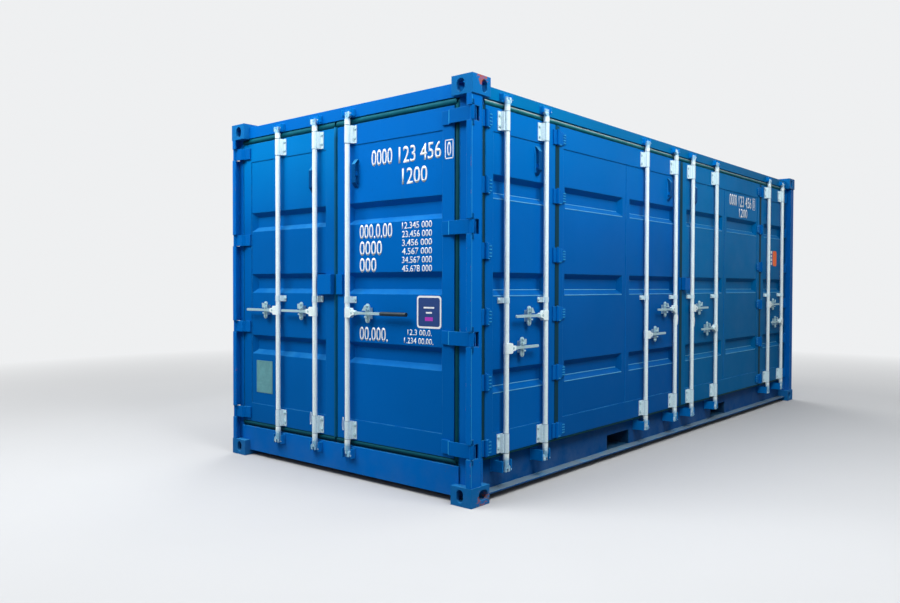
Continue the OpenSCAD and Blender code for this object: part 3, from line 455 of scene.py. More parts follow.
NODE_LOOKS = {
    "paint_leaf_near": ["side_leaf_1"],
    "paint_leaf": ["side_leaf_2"],
    "paint_leaf_far": ["side_leaf_3", "side_leaf_4"],
    "paint_right": ["right_door_leaf", "door_header"],
    "paint_left": ["left_door_leaf"],
    "paint_rail": ["folding_side_top_rail"],
    "cast": ["bottom_castings", "top_castings"],
    "paint_worn": ["door_sill", "blind_end_rails", "door_end_posts"],
    "paint_deep": ["folding_side_bottom_rail", "plain_side_rails", "door_hinge_lugs"],
    "keeper": ["cam_keepers", "side_holdbacks"],
    "base": ["cross_members"],
    "base_dark": ["fork_pockets"],
    "zinc": ["side_lock_rods", "lock_rod_a", "lock_rod_b", "lock_rod_c"],
    "zinc_plate": ["side_rod_brackets", "left_door_brackets", "right_door_brackets"],
    "zinc_dull": ["side_handles", "side_handle_catches", "left_door_catches", "right_door_catch",
                  "handle_a", "handle_b", "handle_c"],
    "rubber": ["side_gaskets", "left_door_gasket", "right_door_gasket"],
    "plywood": ["floor_boards"],
    "plastic": ["handle_c_grip"],
    "plate": ["data_plate"],
}


def dress_nodes():
    """Gives every node of the part its look. What isn't listed is plain container paint."""
    look_of = {node: look for look, nodes in NODE_LOOKS.items() for node in nodes}
    for name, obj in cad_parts.items():
        look = M[look_of.get(name, "paint")]
        for slot in obj.material_slots:
            slot.material = look


# Mesh helpers.

def to_mesh(name, bm):
    mesh = bpy.data.meshes.new(name)
    bm.to_mesh(mesh)
    bm.free()
    return mesh


def finish_mesh(name, bm, look, body, smooth=True):
    """Turns a bmesh into a piece with a look, riding on a body."""
    bmesh.ops.recalc_face_normals(bm, faces=bm.faces)
    mesh = to_mesh(name, bm)
    if smooth:
        for face in mesh.polygons:
            face.use_smooth = True
        mesh.set_sharp_from_angle(angle=math.radians(38))
    mesh.materials.append(M[look])
    obj = linked(name, mesh)
    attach(obj, body)
    return obj


def end_point(y, depth, z):
    """A place on the door end: y across, depth behind the end plane."""
    return Vector((-HALF_L + depth, y, z))


def side_point(x, depth, z):
    """A place on the folding side: x along, depth behind the side plane."""
    return Vector((x, -HALF_W + depth, z))


def frame_at(place, out):
    """A matrix whose Z points out of a face, with X level."""
    z = out.normalized()
    x = UP.cross(z)
    x = x.normalized() if x.length > 1e-6 else ALONG
    y = z.cross(x)
    return Matrix.Translation(place) @ Matrix((x, y, z)).transposed().to_4x4()


def corners(bm, matrix, points):
    return [bm.verts.new(matrix @ Vector(point)) for point in points]


def circle(radius, height, sides):
    turns = [2 * math.pi * i / sides for i in range(sides)]
    return [(radius * math.cos(a), radius * math.sin(a), height) for a in turns]


def join_rings(bm, a, b):
    """A band of faces between two rings of equal length."""
    for i in range(len(a)):
        j = (i + 1) % len(a)
        bm.faces.new([a[i], a[j], b[j], b[i]])


def prism(bm, low, high):
    """A closed solid between two outlines of equal length."""
    bm.faces.new(low[::-1])
    bm.faces.new(high)
    join_rings(bm, low, high)


def lathe(bm, profile, matrix, sides=16):
    """Turns a profile of (radius, height) about Z and places it. Ends at radius 0 are closed."""
    rings = [corners(bm, matrix, circle(r, h, sides if r else 1)) for r, h in profile]
    for a, b in zip(rings, rings[1:]):
        for i in range(sides):
            j = (i + 1) % sides
            face = [a[i % len(a)], a[j % len(a)], b[j % len(b)], b[i % len(b)]]
            unique = list(dict.fromkeys(face))
            if len(unique) > 2:
                bm.faces.new(unique)


def closed_ring(bm, profile, matrix, sides=20):
    """Turns a closed outline of (radius, height) about Z, as a ring with a hole."""
    rings = [corners(bm, matrix, circle(r, h, sides)) for r, h in profile]
    for a, b in zip(rings, rings[1:] + rings[:1]):
        join_rings(bm, a, b)


def hex_bolt(bm, place, out, r=0.008, h=0.006):
    """A hexagon head on a thin washer, with a chamfered crown."""
    washer, crown = 0.0018, 0.0012
    m = frame_at(place, out)
    lathe(bm, [(0, 0), (r * 1.45, 0), (r * 1.45, washer), (0, washer)], m, 20)
    turn = m @ Matrix.Rotation(rng.uniform(0, math.pi / 3), 4, "Z")
    lathe(bm, [(0, washer), (r, washer), (r, h), (r * 0.86, h + crown), (0, h + crown)], turn, 6)


def dome_rivet(bm, place, out, r=0.006, h=0.003):
    """A round head that rises to h in the middle."""
    steps = 4
    turns = [math.pi / 2 * i / steps for i in range(steps)]
    profile = [(0, 0)] + [(r * math.cos(a), h * math.sin(a)) for a in turns] + [(0, h)]
    lathe(bm, profile, frame_at(place, out), 14)


def rounded_plate(bm, width, height, radius, thick, matrix, steps=5):
    """A flat plate with round corners, standing on Z = 0 of the matrix."""
    ring = []
    for sx, sy, start in ((1, 1, 0), (-1, 1, 90), (-1, -1, 180), (1, -1, 270)):
        for i in range(steps + 1):
            a = math.radians(start + 90 * i / steps)
            ring.append((sx * (width / 2 - radius) + radius * math.cos(a),
                         sy * (height / 2 - radius) + radius * math.sin(a)))
    prism(bm, *(corners(bm, matrix, [(x, y, z) for x, y in ring]) for z in (0, thick)))


def slab(bm, low, high):
    """A box between two corners."""
    low, high = Vector(low), Vector(high)
    for v in bmesh.ops.create_cube(bm, size=1.0)["verts"]:
        v.co = [(a + b) / 2 + c * (b - a) for a, b, c in zip(low, high, v.co)]


def half_tube(bm, a, b, across, out, half_width, rise, sides=8):
    """A half-round strip from a to b, lying on a face and rising along out, with closed ends."""
    turns = [math.pi * i / sides for i in range(sides + 1)]
    arc = [across * (half_width * math.cos(t)) + out * (rise * math.sin(t)) for t in turns]
    prism(bm, *([bm.verts.new(end + step) for step in arc] for end in (a, b)))


def sweep(bm, points, radius, sides=8):
    """A round bar along a line of points, with closed ends."""
    rings = []
    normal = None
    for i, point in enumerate(points):
        ahead = (points[min(i + 1, len(points) - 1)] - points[max(i - 1, 0)]).normalized()
        if normal is None:
            normal = ahead.orthogonal().normalized()
        normal = (normal - ahead * normal.dot(ahead)).normalized()
        side = ahead.cross(normal)
        rings.append([bm.verts.new(point + normal * spot[0] + side * spot[1])
                      for spot in circle(radius, 0, sides)])
    for a, b in zip(rings, rings[1:]):
        join_rings(bm, a, b)
    bm.faces.new(rings[0][::-1])
    bm.faces.new(rings[-1])


def wire_loop(bm, centre, side, rise, radius, steps):
    """A closed oval of round wire. side and rise are its half axes."""
    turns = [2 * math.pi * i / steps for i in range(steps + 1)]
    sweep(bm, [centre + side * math.cos(a) + rise * math.sin(a) for a in turns], radius, 6)


# Lock gear.

def bolt_piece(name, places, out, body, r=0.008):
    """One piece with a hexagon bolt at each place."""
    bm = bmesh.new()
    for place in places:
        hex_bolt(bm, place, out, r)
    finish_mesh(name, bm, "zinc_dull", body)


def bracket_bolts():
    """Bolts on the rod brackets' feet, to one side of the rod: two above, one halfway, two below."""
    foot, end_aside, side_aside = 0.006, 0.046, 0.044
    rows = [(2.335, DOOR_IN), (2.398, DOOR_IN), (1.235, PANEL_IN), (0.305, DOOR_IN), (0.372, DOOR_IN)]
    for body, names in END_GEAR:
        places = [end_point(END_RODS[name] - end_aside, face - foot, z)
                  for name in names for z, face in rows]
        bolt_piece("bracket_bolts_" + body, places, END_OUT, body)
    rows = [(2.328, LEAF_IN), (2.394, LEAF_IN), (1.240, LEAF_PANEL_IN), (0.306, LEAF_IN), (0.374, LEAF_IN)]
    places = [side_point(x - side_aside, face - foot, z) for x in SIDE_RODS for z, face in rows]
    bolt_piece("bracket_bolts_side", places, SIDE_OUT, BODY)


def catch_bolts():
    """A bolt at each end of every handle catch's oval plate."""
    steps = (-CATCH_BOLT_Z, CATCH_BOLT_Z)
    for body, names in END_GEAR:
        reach = CATCH_END if body == LEFT else CATCH_C
        places = [end_point(END_RODS[name] + HANDLE_DIR[name] * reach, CATCH_FACE, END_HANDLE_Z + step)
                  for name in names for step in steps]
        bolt_piece("catch_bolts_" + body, places, END_OUT, body, CATCH_BOLT_R)
    places = [side_point(x + way * CATCH_SIDE, CATCH_FACE, z + step)
              for x, z, way in zip(SIDE_RODS, SIDE_HANDLE_Z, SIDE_HANDLE_DIR) for step in steps]
    bolt_piece("catch_bolts_side", places, SIDE_OUT, BODY, CATCH_BOLT_R)


def handle_pivots():
    """The flat head of the pin that each handle bar turns on, in front of its fork."""
    front, radius, rise = 0.002, 0.0095, 0.0018
    for body, y in END_RODS.items():
        bm = bmesh.new()
        place = end_point(y + HANDLE_DIR[body] * PIVOT, front, END_HANDLE_Z)
        dome_rivet(bm, place, END_OUT, radius, rise)
        finish_mesh("handle_pivot_" + body[:10], bm, "zinc_dull", body)
    bm = bmesh.new()
    for x, z, way in zip(SIDE_RODS, SIDE_HANDLE_Z, SIDE_HANDLE_DIR):
        dome_rivet(bm, side_point(x + way * PIVOT, front, z), SIDE_OUT, radius, rise)
    finish_mesh("handle_pivots_side", bm, "zinc_dull", BODY)


def rod_rings():
    """Dark joint lines round the rods where collars and bracket sleeves meet."""
    heights = (0.2745, 0.3995, 2.3005, 2.4255, 2.4695)
    inner, outer, half = 0.0160, 0.0193, 0.0009
    profile = [(inner, -half), (outer, -half), (outer, half), (inner, half)]
    for body, y in END_RODS.items():
        bm = bmesh.new()
        for z in heights:
            closed_ring(bm, profile, Matrix.Translation(end_point(y, ROD_IN, z)))
        finish_mesh("rod_rings_" + body[:10], bm, "joint_dark", body)
    bm = bmesh.new()
    for x in SIDE_RODS:
        for z in heights:
            closed_ring(bm, profile, Matrix.Translation(side_point(x, ROD_IN, z)))
    finish_mesh("rod_rings_side", bm, "joint_dark", BODY)


# Posts, leaves and their hinges.

def box_object(low, high):
    """A loose box, for cutting or joining."""
    bm = bmesh.new()
    slab(bm, low, high)
    return linked("loose_box", to_mesh("loose_box", bm))


def rebated_posts(node, look, way):
    """A copy of a pair of posts, with a rebate for the leaf hinges in the one beside the leaves.

    The rebate is closed by a jamb face and a side wall, so the post stays a closed tube."""
    name = node + "_rebated"
    bm = bmesh.new()
    bm.from_mesh(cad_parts[node].data)
    bmesh.ops.remove_doubles(bm, verts=bm.verts[:], dist=1e-5)
    work = linked(name, to_mesh(name, bm))
    wall, plate, past = 0.008, 0.006, 0.005
    face = -HALF_W + LEAF_IN
    back = face + plate
    tools = [("DIFFERENCE", (POST_X - past, -HALF_W - 2 * past, POST_FOOT - past),
              (REBATE_X, face, POST_HEAD + past)),
             ("UNION", (POST_X, face, POST_FOOT), (REBATE_X, back, POST_HEAD)),
             ("UNION", (REBATE_X, -HALF_W + wall, POST_FOOT), (REBATE_X + plate, back, POST_HEAD))]
    loose = []
    for operation, low, high in tools:
        ends = sorted((way * low[0], way * high[0]))
        tool = box_object((ends[0], low[1], low[2]), (ends[1], high[1], high[2]))
        loose.append(tool)
        modifier = work.modifiers.new("shape", "BOOLEAN")
        modifier.operation = operation
        modifier.object = tool
        modifier.solver = "EXACT"
    depsgraph = bpy.context.evaluated_depsgraph_get()
    shaped = bpy.data.meshes.new_from_object(work.evaluated_get(depsgraph))
    for obj in loose + [work]:
        bpy.data.objects.remove(obj)
    bm = bmesh.new()
    bm.from_mesh(shaped)
    bpy.data.meshes.remove(shaped)
    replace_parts(finish_mesh(name, bm, look, BODY, smooth=False), node)


def on_side_slab(bm, way, x0, x1, z, half, depth, thick):
    """A flat box on the folding side, from a depth outward, between two places along it."""
    low, high = sorted((way * x0, way * x1))
    slab(bm, (low, -HALF_W + depth - thick, z - half), (high, -HALF_W + depth, z + half))


def taper_plate(bm, x0, x1, z, half):
    """A flap on a leaf, from its root at x0 to a narrower end at x1."""
    depth, thick, taper = LEAF_IN - LIFT, 0.007, 0.020
    ring = [(x0, z - half), (x1, z - half + taper), (x1, z + half - taper), (x0, z + half)]
    prism(bm, *([bm.verts.new(side_point(x, d, h)) for x, h in ring] for d in (depth, depth - thick)))


def leaf_hinge_trim():
    """Flaps on the rebated posts, longer flaps at the folds, and the raised marks of both, in a lighter blue:
    painted highlights on the ridges and lower edges.
    """
    plates, marks = bmesh.new(), bmesh.new()
    half, line, mark_half, mark_thick = 0.050, 0.0025, 0.0032, 0.0025
    front = LEAF_IN - 0.010
    at_post = (2.782, 2.806, front, 2.803, 2.836, 1.0)
    at_fold = (1.930, 1.960, LEAF_IN - 0.0072, 1.985, 2.022, 0.85)
    for way in (-1, 1):
        for z in LEAF_HINGE_Z:
            on_side_slab(plates, way, POST_X, 2.908, z, half, LEAF_IN - LIFT, 0.008)
            taper_plate(plates, way * 1.985, way * 1.922, z, half)
            for low, high, depth, foot_from, foot_to, spread in (at_post, at_fold):
                for step in (-0.032, -0.011, 0.011, 0.032):
                    on_side_slab(marks, way, low, high, z + step * spread, mark_half, depth, mark_thick)
                # A lighter strip along each flap's lower edge: a painted highlight.
                on_side_slab(marks, way, foot_from, foot_to, z - half + line, line, front, mark_thick)
    finish_mesh("leaf_hinge_flaps", plates, "paint", BODY, smooth=False)
    finish_mesh("leaf_hinge_marks", marks, "hinge_mark", BODY, smooth=False)


def post_edges():
    """Lighter paint along the outer corners of the posts, between the hinge slots: a painted highlight."""
    inset, slot_half, radius = 0.0085, 0.055, 0.0030
    stops = [0.125] + [z + k * slot_half for z in DOOR_HINGE_Z for k in (-1, 1)] + [2.462]
    for sign, name in ((-1, "near"), (1, "far")):
        bm = bmesh.new()
        corner = Vector((-HALF_L + inset, sign * (HALF_W - inset), 0))
        for low, high in zip(stops[::2], stops[1::2]):
            sweep(bm, [corner + UP * z for z in (low, (low + high) / 2, high)], radius, 6)
        finish_mesh("post_edge_" + name, bm, "paint_edge", BODY)


def crease_lines():
    """Lighter paint along the creases of the pressed recesses' lower slopes on the leaves: painted
    highlights.
    """
    leaf_foot, leaf_height, first, pitch, below = 0.270, 2.166, 0.2135, 0.2811, 0.073
    outer_crease, inner_crease = (0.004, 0.0, -0.001), (0.036, 0.036, 0.0372)
    half, raised = 0.0032, 0.0012
    bm = bmesh.new()
    for way in (-1, 1):
        for low, high in ((2.149, 2.753), (1.076, 1.922), (0.120, 0.961)):
            for i in range(3):
                foot = leaf_foot + (first + pitch * i) * leaf_height - below
                for inset, depth, rise in (outer_crease, inner_crease):
                    ends = sorted((way * (low + inset), way * (high - inset)))
                    near, far = (side_point(x, LEAF_PANEL_IN + depth, foot + rise) for x in ends)
                    half_tube(bm, near, far, UP, SIDE_OUT, half, raised, 3)
    finish_mesh("recess_creases", bm, "crease", BODY, smooth=False)


def gap_shade_strips():
    """Dark rubber strips over the gaps at the posts, at the folds and in the middle of the folding side:
    painted shadow in the gaps.
    """
    thick, foot, head = 0.0025, 0.274, 2.436
    places = (("post", -2.915, -2.845), ("left", -2.051, -2.003), ("middle", -0.026, 0.024),
              ("right", 2.003, 2.051), ("far_post", 2.845, 2.856))
    for name, low, high in places:
        bm = bmesh.new()
        slab(bm, side_point(low, LEAF_IN - thick, foot), side_point(high, LEAF_IN - LIFT, head))
        finish_mesh("gap_shade_strip_" + name, bm, "rubber_gap_shade", BODY, smooth=False)


def slot_sills():
    """Thin lips that narrow each hinge slot of the posts, just above and below the blade."""
    outer, inner, back = HALF_W - 0.0082, HALF_W - 0.0178, HALF_W - 0.0438
    deep, shallow, thick = -HALF_L + 0.0778, -HALF_L + 0.0118, 0.003
    bm = bmesh.new()
    for way in (-1, 1):
        for low in [z + step for z in DOOR_HINGE_Z for step in (-0.0463, 0.0433)]:
            for y0, y1, x in ((outer, inner, deep), (inner, back, shallow)):
                near, far = sorted((way * y0, way * y1))
                slab(bm, (-HALF_L + LIFT, near, low), (x, far, low + thick))
    finish_mesh("hinge_slot_lips", bm, "paint", BODY, smooth=False)


def blade_glints():
    """Lighter paint along the bend of the right door's hinge blades: a painted highlight."""
    bm = bmesh.new()
    a, b = end_point(-1.0250, 0.0193, 0.0), end_point(-0.9990, 0.0428, 0.0)
    out = (b - a).cross(UP).normalized()
    out = out if out.x < 0 else -out
    half, front = 0.041, 0.0008
    for z in DOOR_HINGE_Z:
        ring = [a + UP * (z - half), b + UP * (z - half), b + UP * (z + half), a + UP * (z + half)]
        prism(bm, *([bm.verts.new(v + out * d) for v in ring] for d in (LIFT, front)))
    finish_mesh("blade_bends", bm, "paint_edge", RIGHT, smooth=False)


# Gaskets, seals, straps and pins.

def gasket_lips():
    """Round rubber lips on the gaskets, all round each end door and along the folding side."""
    face, foot, head, casting = 0.063, 0.2505, 2.449, 1.050
    for body, y_mid, y_post, half_post in ((LEFT, 0.0545, 1.1402, 0.004), (RIGHT, 0.0355, -1.056, 0.015)):
        bm = bmesh.new()
        y_casting = max(min(y_post, casting), -casting)
        for z, half, y_from, y_to in ((2.4570, 0.0190, y_mid, y_casting),
                                      (2.4525, 0.0150, y_casting, y_post),
                                      (foot, 0.0135, y_mid, y_post)):
            half_tube(bm, end_point(y_from, face, z), end_point(y_to, face, z), UP, END_OUT, half, 0.0145)
        uprights = [(y_post, half_post, 0.0065)]
        if body == RIGHT:
            uprights.insert(0, (y_mid, 0.0035, 0.009))
        for y, half, rise in uprights:
            half_tube(bm, end_point(y, face, foot), end_point(y, face, head), ACROSS, END_OUT, half, rise)
        finish_mesh("gasket_lip_" + body, bm, "rubber", body)
    y_middle, half, rise = 0.0565, 0.0150, 0.0120
    bm = bmesh.new()
    half_tube(bm, end_point(y_middle, face, 0.2640), end_point(y_middle, face, 2.4380), ACROSS, END_OUT,
              half, rise)
    finish_mesh("gasket_lip_middle", bm, "rubber_middle", LEFT)
    face, reach = 0.066, 2.846
    bm = bmesh.new()
    half_tube(bm, side_point(-reach, face, 2.4605), side_point(reach, face, 2.4605), UP, SIDE_OUT,
              0.0175, 0.018)
    finish_mesh("gasket_lip_side_head", bm, "rubber_lit_top", BODY)
    bm = bmesh.new()
    half_tube(bm, side_point(-reach, face, 0.260), side_point(reach, face, 0.260), UP, SIDE_OUT,
              0.009, 0.010)
    for x, half in ((-2.843, 0.006), (-2.037, 0.0105), (0.0, 0.0095), (2.037, 0.0105), (2.843, 0.006)):
        half_tube(bm, side_point(x, face, 0.262), side_point(x, face, 2.458), ALONG, SIDE_OUT,
                  half, 0.006)
    finish_mesh("gasket_lip_side", bm, "rubber", BODY)


def holdback_straps():
    """A flat strap bowed out from the door over each hold-back peg, with sloping ends."""
    half, flat, stand, thick, wide, sunk = 0.098, 0.062, 0.030, 0.005, 0.017, 0.004
    places = [(LEFT, end_point(0.290, PANEL_IN - sunk, 2.095), END_OUT, ACROSS),
              (RIGHT, end_point(-0.162, PANEL_IN - sunk, 2.095), END_OUT, ACROSS)]
    places += [(BODY, side_point(x, LEAF_PANEL_IN - sunk, 2.165), SIDE_OUT, ALONG)
               for x in (-2.275, -0.265, 0.265, 2.275)]
    outer = [(-half, 0.0), (-flat, stand), (flat, stand), (half, 0.0)]
    inner = [(half - 0.010, 0.0), (flat - 0.004, stand - thick), (-flat + 0.004, stand - thick),
             (-half + 0.010, 0.0)]
    for number, (body, place, out, across) in enumerate(places):
        bm = bmesh.new()
        sides = [[bm.verts.new(place + across * shift + UP * z + out * d) for z, d in outer + inner]
                 for shift in (-wide, wide)]
        join_rings(bm, *sides)
        for ring in sides:
            for quad in ((0, 1, 6, 7), (1, 2, 5, 6), (2, 3, 4, 5)):
                bm.faces.new([ring[i] for i in quad])
        finish_mesh("holdback_strap_%d" % number, bm, "paint_deep", body, smooth=False)


def rod_seals():
    """White bolt seals hanging beside the two rods in the middle of the folding side."""
    slim = 0.9
    profile = [(0, -0.128), (0.010, -0.125), (0.0135, -0.116), (0.0150, -0.066), (0.0125, -0.042),
               (0.0080, -0.032), (0.0080, -0.004), (0.006, 0.0), (0, 0.0)]
    for number, (x, top_z) in enumerate(((-0.150, 1.120), (0.206, 1.090))):
        top = side_point(x, 0.018, top_z)
        tilt = Matrix.Translation(top) @ Matrix.Rotation(math.radians(4), 4, "Y")
        bm = bmesh.new()
        lathe(bm, [(r * slim, h) for r, h in profile], tilt, 14)
        finish_mesh("rod_seal_%d" % number, bm, "seal", BODY)
        bm = bmesh.new()
        wire_loop(bm, top + Vector((-0.014, 0, 0.014)), ALONG * 0.020, Vector((0, 0.004, 0.030)), 0.0016, 16)
        finish_mesh("rod_seal_wire_%d" % number, bm, "zinc_dull", BODY)


def seal_wires():
    """Thin seal wires hung on the lower brackets of two of the end rods."""
    for body, rod, name in ((LEFT, "lock_rod_b_body", "b"), (RIGHT, "lock_rod_c_body", "c")):
        bm = bmesh.new()
        centre = end_point(END_RODS[rod] + 0.0345, 0.012, 0.378)
        wire_loop(bm, centre, Vector((0.004, 0.0125, 0)), UP * 0.044, 0.0020, 24)
        finish_mesh("seal_wire_" + name, bm, "zinc", body)


def keeper_pins():
    """Bright pin heads on one lip of every keeper."""
    aside, front, radius, rise = 0.0445, 0.010, 0.0044, 0.003
    bm = bmesh.new()
    for z in (0.166, 2.500):
        for y in END_RODS.values():
            dome_rivet(bm, end_point(y - aside, front, z), END_OUT, radius, rise)
        for x in SIDE_RODS:
            dome_rivet(bm, side_point(x + aside, front, z), SIDE_OUT, radius, rise)
    finish_mesh("keeper_pins", bm, "zinc", BODY)


# Numbers and labels.

def flat_text(name, words, left, right, low, high, place, turn, body):
    """Plain numbers laid on a face, stretched to the space between left and right, low and high."""
    back, front = 0.0001, 0.0006
    curve = bpy.data.curves.new(name, "FONT")
    curve.body = words
    curve.offset = 0.007
    curve.resolution_u = 4
    probe = linked(name, curve)
    depsgraph = bpy.context.evaluated_depsgraph_get()
    mesh = bpy.data.meshes.new_from_object(probe.evaluated_get(depsgraph))
    bpy.data.objects.remove(probe)
    xs = [v.co.x for v in mesh.vertices]
    ys = [v.co.y for v in mesh.vertices]
    bm = bmesh.new()
    bm.from_mesh(mesh)
    bpy.data.meshes.remove(mesh)
    grown = bmesh.ops.extrude_face_region(bm, geom=bm.faces[:])
    thick = {v for v in grown["geom"] if isinstance(v, bmesh.types.BMVert)}
    for v in bm.verts:
        across = left + (right - left) * (v.co.x - min(xs)) / (max(xs) - min(xs))
        up = low + (high - low) * (v.co.y - min(ys)) / (max(ys) - min(ys))
        v.co = place + turn * across + UP * up + turn.cross(UP) * (front if v in thick else back)
    bmesh.ops.remove_doubles(bm, verts=bm.verts[:], dist=1e-6)
    finish_mesh(name, bm, "mark", body, smooth=False)


def line_frame(bm, matrix, width, height, stroke, thick):
    """A square frame of four strokes, flat on Z = 0 of the matrix."""
    back = 0.0001
    for s in (-1, 1):
        x0, x1 = sorted((s * width / 2, s * (width / 2 - stroke)))
        y0, y1 = sorted((s * height / 2, s * (height / 2 - stroke)))
        for left, right, low, high in ((x0, x1, -height / 2, height / 2), (-width / 2, width / 2, y0, y1)):
            ring = [(left, low), (right, low), (right, high), (left, high)]
            prism(bm, *(corners(bm, matrix, [(x, y, z) for x, y in ring]) for z in (back, thick)))


def digit_box(name, place, out, width, height, body):
    """The thin square round the last digit."""
    bm = bmesh.new()
    line_frame(bm, frame_at(place, out), width, height, 0.006, 0.0006)
    finish_mesh(name, bm, "mark", body, smooth=False)


def end_numbers():
    """Plain numbers in the places of the end door's markings. Right as seen is towards -Y."""
    right = -ACROSS
    panel, stile = end_point(0, PANEL_IN, 0), end_point(0, DOOR_IN, 0)
    rows = [("line_a", "0000", 0.306, 0.500, 2.128, 2.236), ("line_b", "123 456", 0.560, 0.925, 2.124, 2.232),
            ("line_c", "1200", 0.590, 0.810, 1.985, 2.090)]
    large = (("000.0.00", 0.500, 1.646), ("0000", 0.405, 1.533), ("000", 0.352, 1.420))
    rows += [("large_%d" % i, words, 0.190, edge, z, z + 0.098) for i, (words, edge, z) in enumerate(large)]
    small = ("12.345 000", "23.456 000", " 3.456 000", " 4.567 000", "34.567 000", "45.678 000")
    foot, head, pitch = 1.4200, 1.4625, 0.0557
    rows += [("small_%d" % i, words, 0.590, 0.850, foot + pitch * (5 - i), head + pitch * (5 - i))
             for i, words in enumerate(small)]
    rows += [("capacity", "00.000.", 0.190, 0.460, 0.958, 1.052),
             ("capacity_a", "12.3 00.0.", 0.640, 0.850, 1.012, 1.050),
             ("capacity_b", "1.234 00.00.", 0.610, 0.862, 0.958, 0.996)]
    for name, words, left, edge, low, high in rows:
        flat_text("number_" + name, words, left, edge, low, high, panel, right, RIGHT)
    flat_text("number_box_digit", "0", 0.978, 1.010, 2.126, 2.214, stile, right, RIGHT)
    digit_box("number_box", end_point(-0.994, DOOR_IN, 2.170), END_OUT, 0.068, 0.118, RIGHT)


def side_numbers():
    """The same numbers, smaller, on the third leaf of the folding side."""
    panel = side_point(0, LEAF_PANEL_IN, 0)
    for name, words, left, edge, low, high in (
            ("side_a", "0000", 1.150, 1.345, 2.150, 2.265),
            ("side_b", "123 456", 1.400, 1.760, 2.150, 2.265),
            ("side_c", "1200", 1.415, 1.645, 2.045, 2.135),
            ("side_box_digit", "0", 1.818, 1.852, 2.162, 2.253)):
        flat_text("number_" + name, words, left, edge, low, high, panel, ALONG, BODY)
    digit_box("number_side_box", side_point(1.835, LEAF_PANEL_IN, 2.2075), SIDE_OUT, 0.074, 0.122, BODY)


def labels():
    """A framed label on the right end door, with bars for words, and two bare ones on the last leaf."""
    for name, look, z, width, height, radius, low, thick in (
            ("label_frame", "frame_white", 1.164, 0.206, 0.206, 0.022, 0.0001, 0.0007),
            ("label_field", "label_dark", 1.164, 0.182, 0.182, 0.016, 0.0008, 0.0003),
            ("label_bar_a", "frame_white", 1.192, 0.090, 0.010, 0.003, 0.0011, 0.0003),
            ("label_bar_b", "frame_white", 1.160, 0.052, 0.010, 0.003, 0.0011, 0.0003),
            ("label_bar_c", "label_pink", 1.120, 0.066, 0.024, 0.003, 0.0011, 0.0003)):
        bm = bmesh.new()
        place = frame_at(end_point(-0.826, PANEL_IN, z), END_OUT) @ Matrix.Translation((0, 0, low))
        rounded_plate(bm, width, height, radius, thick, place)
        finish_mesh(name, bm, look, RIGHT, smooth=False)
    thick = 0.0006
    bm = bmesh.new()
    rounded_plate(bm, 0.130, 0.170, 0.030, thick, frame_at(side_point(2.520, LEAF_PANEL_IN, 1.650), SIDE_OUT))
    finish_mesh("label_orange", bm, "label", BODY, smooth=False)
    bm = bmesh.new()
    for i, width in enumerate((0.050, 0.038, 0.050, 0.044)):
        place = frame_at(side_point(2.412, LEAF_PANEL_IN, 1.718 - 0.042 * i), SIDE_OUT)
        rounded_plate(bm, width, 0.030, 0.004, thick, place)
    finish_mesh("label_side_white", bm, "mark", BODY, smooth=False)


def data_plate_trim():
    """A raised rim, corner rivets and blank ruled lines on the data plate."""
    middle_y, middle_z, face = 0.880, 0.625, 0.057
    bm = bmesh.new()
    line_frame(bm, frame_at(end_point(middle_y, face, middle_z), END_OUT), 0.192, 0.242, 0.004, 0.0012)
    for y in (-0.084, 0.084):
        for z in (-0.109, 0.109):
            dome_rivet(bm, end_point(middle_y + y, face, middle_z + z), END_OUT, 0.0045, 0.0025)
    half, pitch = 0.075, 0.025
    for i in range(7):
        z = middle_z + half - pitch * i
        half_tube(bm, end_point(middle_y - half, face, z), end_point(middle_y + half, face, z), UP, END_OUT,
                  0.0012, 0.0006, 3)
    finish_mesh("data_plate_trim", bm, "plate", LEFT)


# Welds and floor screws.

def bead_frame(bm, place, across, out, low, high, foot, head):
    """Beads round a panel, in the corner between it and the frame round it."""
    half, rise = 0.002, 0.0018
    for edge in (low + half, high - half):
        half_tube(bm, place(edge, foot), place(edge, head), across, out, half, rise, 3)
    for z in (foot + half, head - half):
        half_tube(bm, place(low, z), place(high, z), UP, out, half, rise, 3)


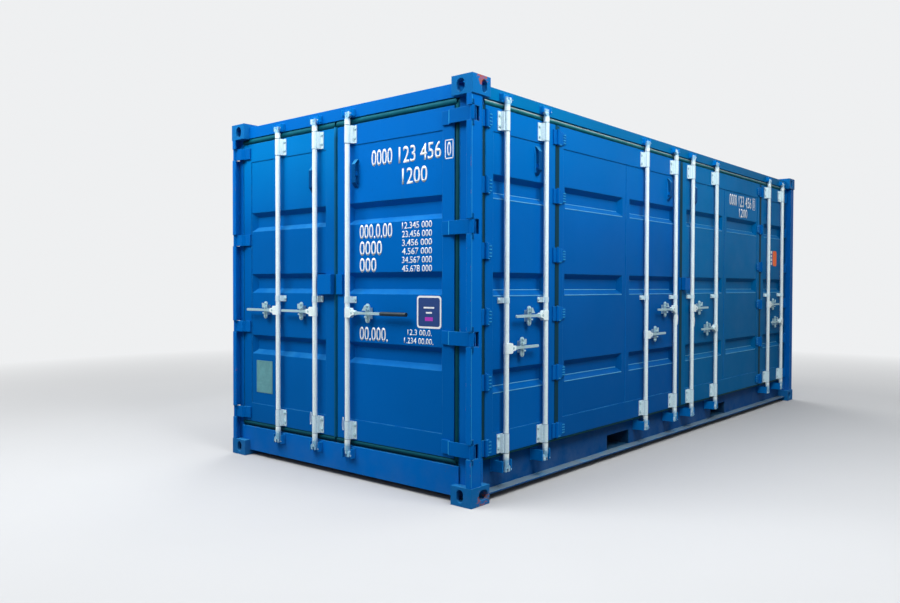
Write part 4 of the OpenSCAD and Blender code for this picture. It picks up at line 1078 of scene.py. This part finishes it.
def weld_beads():
    """Fillet welds along the posts and round the panels, as thin rounded beads."""
    half, rise, post_face = 0.003, 0.0025, 0.0585
    bm = bmesh.new()
    for y in (-1.080 + half, 1.150 - half):
        half_tube(bm, end_point(y, post_face, 2.470), end_point(y, post_face, 0.232), ACROSS, END_OUT,
                  half, rise, 4)
    for x in (-REBATE_X - 0.004, REBATE_X + 0.004):
        half_tube(bm, side_point(x, 0.008, POST_FOOT), side_point(x, 0.008, POST_HEAD), ALONG, SIDE_OUT,
                  half, 0.002, 4)
    for x in (-1.018, 1.018):
        half_tube(bm, side_point(x, LEAF_PANEL_IN, 0.412), side_point(x, LEAF_PANEL_IN, 2.288), ALONG,
                  SIDE_OUT, 0.005, rise, 4)
    for low, high in ((-2.755, -2.129), (-1.945, -0.091), (0.091, 1.945), (2.129, 2.755)):
        bead_frame(bm, lambda across, z: side_point(across, LEAF_PANEL_IN, z), ALONG, SIDE_OUT,
                   low, high, 0.410, 2.290)
    finish_mesh("weld_beads_frame", bm, "paint", BODY)
    for body, low, high in ((LEFT, 0.155, 1.0395), (RIGHT, -0.941, -0.065)):
        bm = bmesh.new()
        bead_frame(bm, lambda across, z: end_point(across, PANEL_IN, z), ACROSS, END_OUT,
                   low, high, 0.408, 2.292)
        finish_mesh("weld_beads_" + body, bm, "paint", body)


def floor_screws():
    """Countersunk screws through the boards into every cross member."""
    pitch, flange, head = 0.265, 0.022, [(0, 0), (0.0065, 0), (0.0055, 0.0008), (0, 0.0008)]
    members = [-2.700 + pitch * i + flange for i in range(6)]
    members += [-0.530 + pitch * i for i in range(5)]
    members += [1.330 + pitch * i + flange for i in range(6)]
    first_board, board = -1.103, 0.4538
    rows = [first_board + board * i + step for i in range(5) for step in (0.06, 0.225, 0.39)]
    bm = bmesh.new()
    for x in members:
        for y in rows:
            lathe(bm, head, Matrix.Translation((x, y, FLOOR_TOP)), 8)
    finish_mesh("floor_screws", bm, "zinc_dull", BODY)


plain_view()
add_camera()
add_world()
add_area("key_end", (-6.0, 1.5, 5.4), (-3.03, 0.9, 3.2), (4.4, 2.2), 350)
add_area("key_side", (-3.0, -4.2, 5.4), (-2.2, -1.2, 3.2), (3.0, 2.2), 300)
add_area("front_fill", (-8.5, -7.5, 3.0), (-2.0, -1.0, 1.2), (6.0, 4.0), 12, (0.96, 0.98, 1.0))
add_area("back_fill", (7.0, 6.5, 4.5), (0.5, 0.3, 1.2), (6.0, 4.0), 420)
add_area("top", (0.0, 0.0, 9.0), (0.0, 0.0, 0.0), (14.0, 10.0), 800)
add_floor()
dress_nodes()
bracket_bolts()
catch_bolts()
handle_pivots()
rod_rings()
rebated_posts("door_end_posts", "paint_worn", -1)
rebated_posts("blind_end_posts", "paint", 1)
leaf_hinge_trim()
gap_shade_strips()
slot_sills()
blade_glints()
crease_lines()
post_edges()
seal_wires()
keeper_pins()
gasket_lips()
holdback_straps()
rod_seals()
end_numbers()
side_numbers()
labels()
data_plate_trim()
weld_beads()
floor_screws()
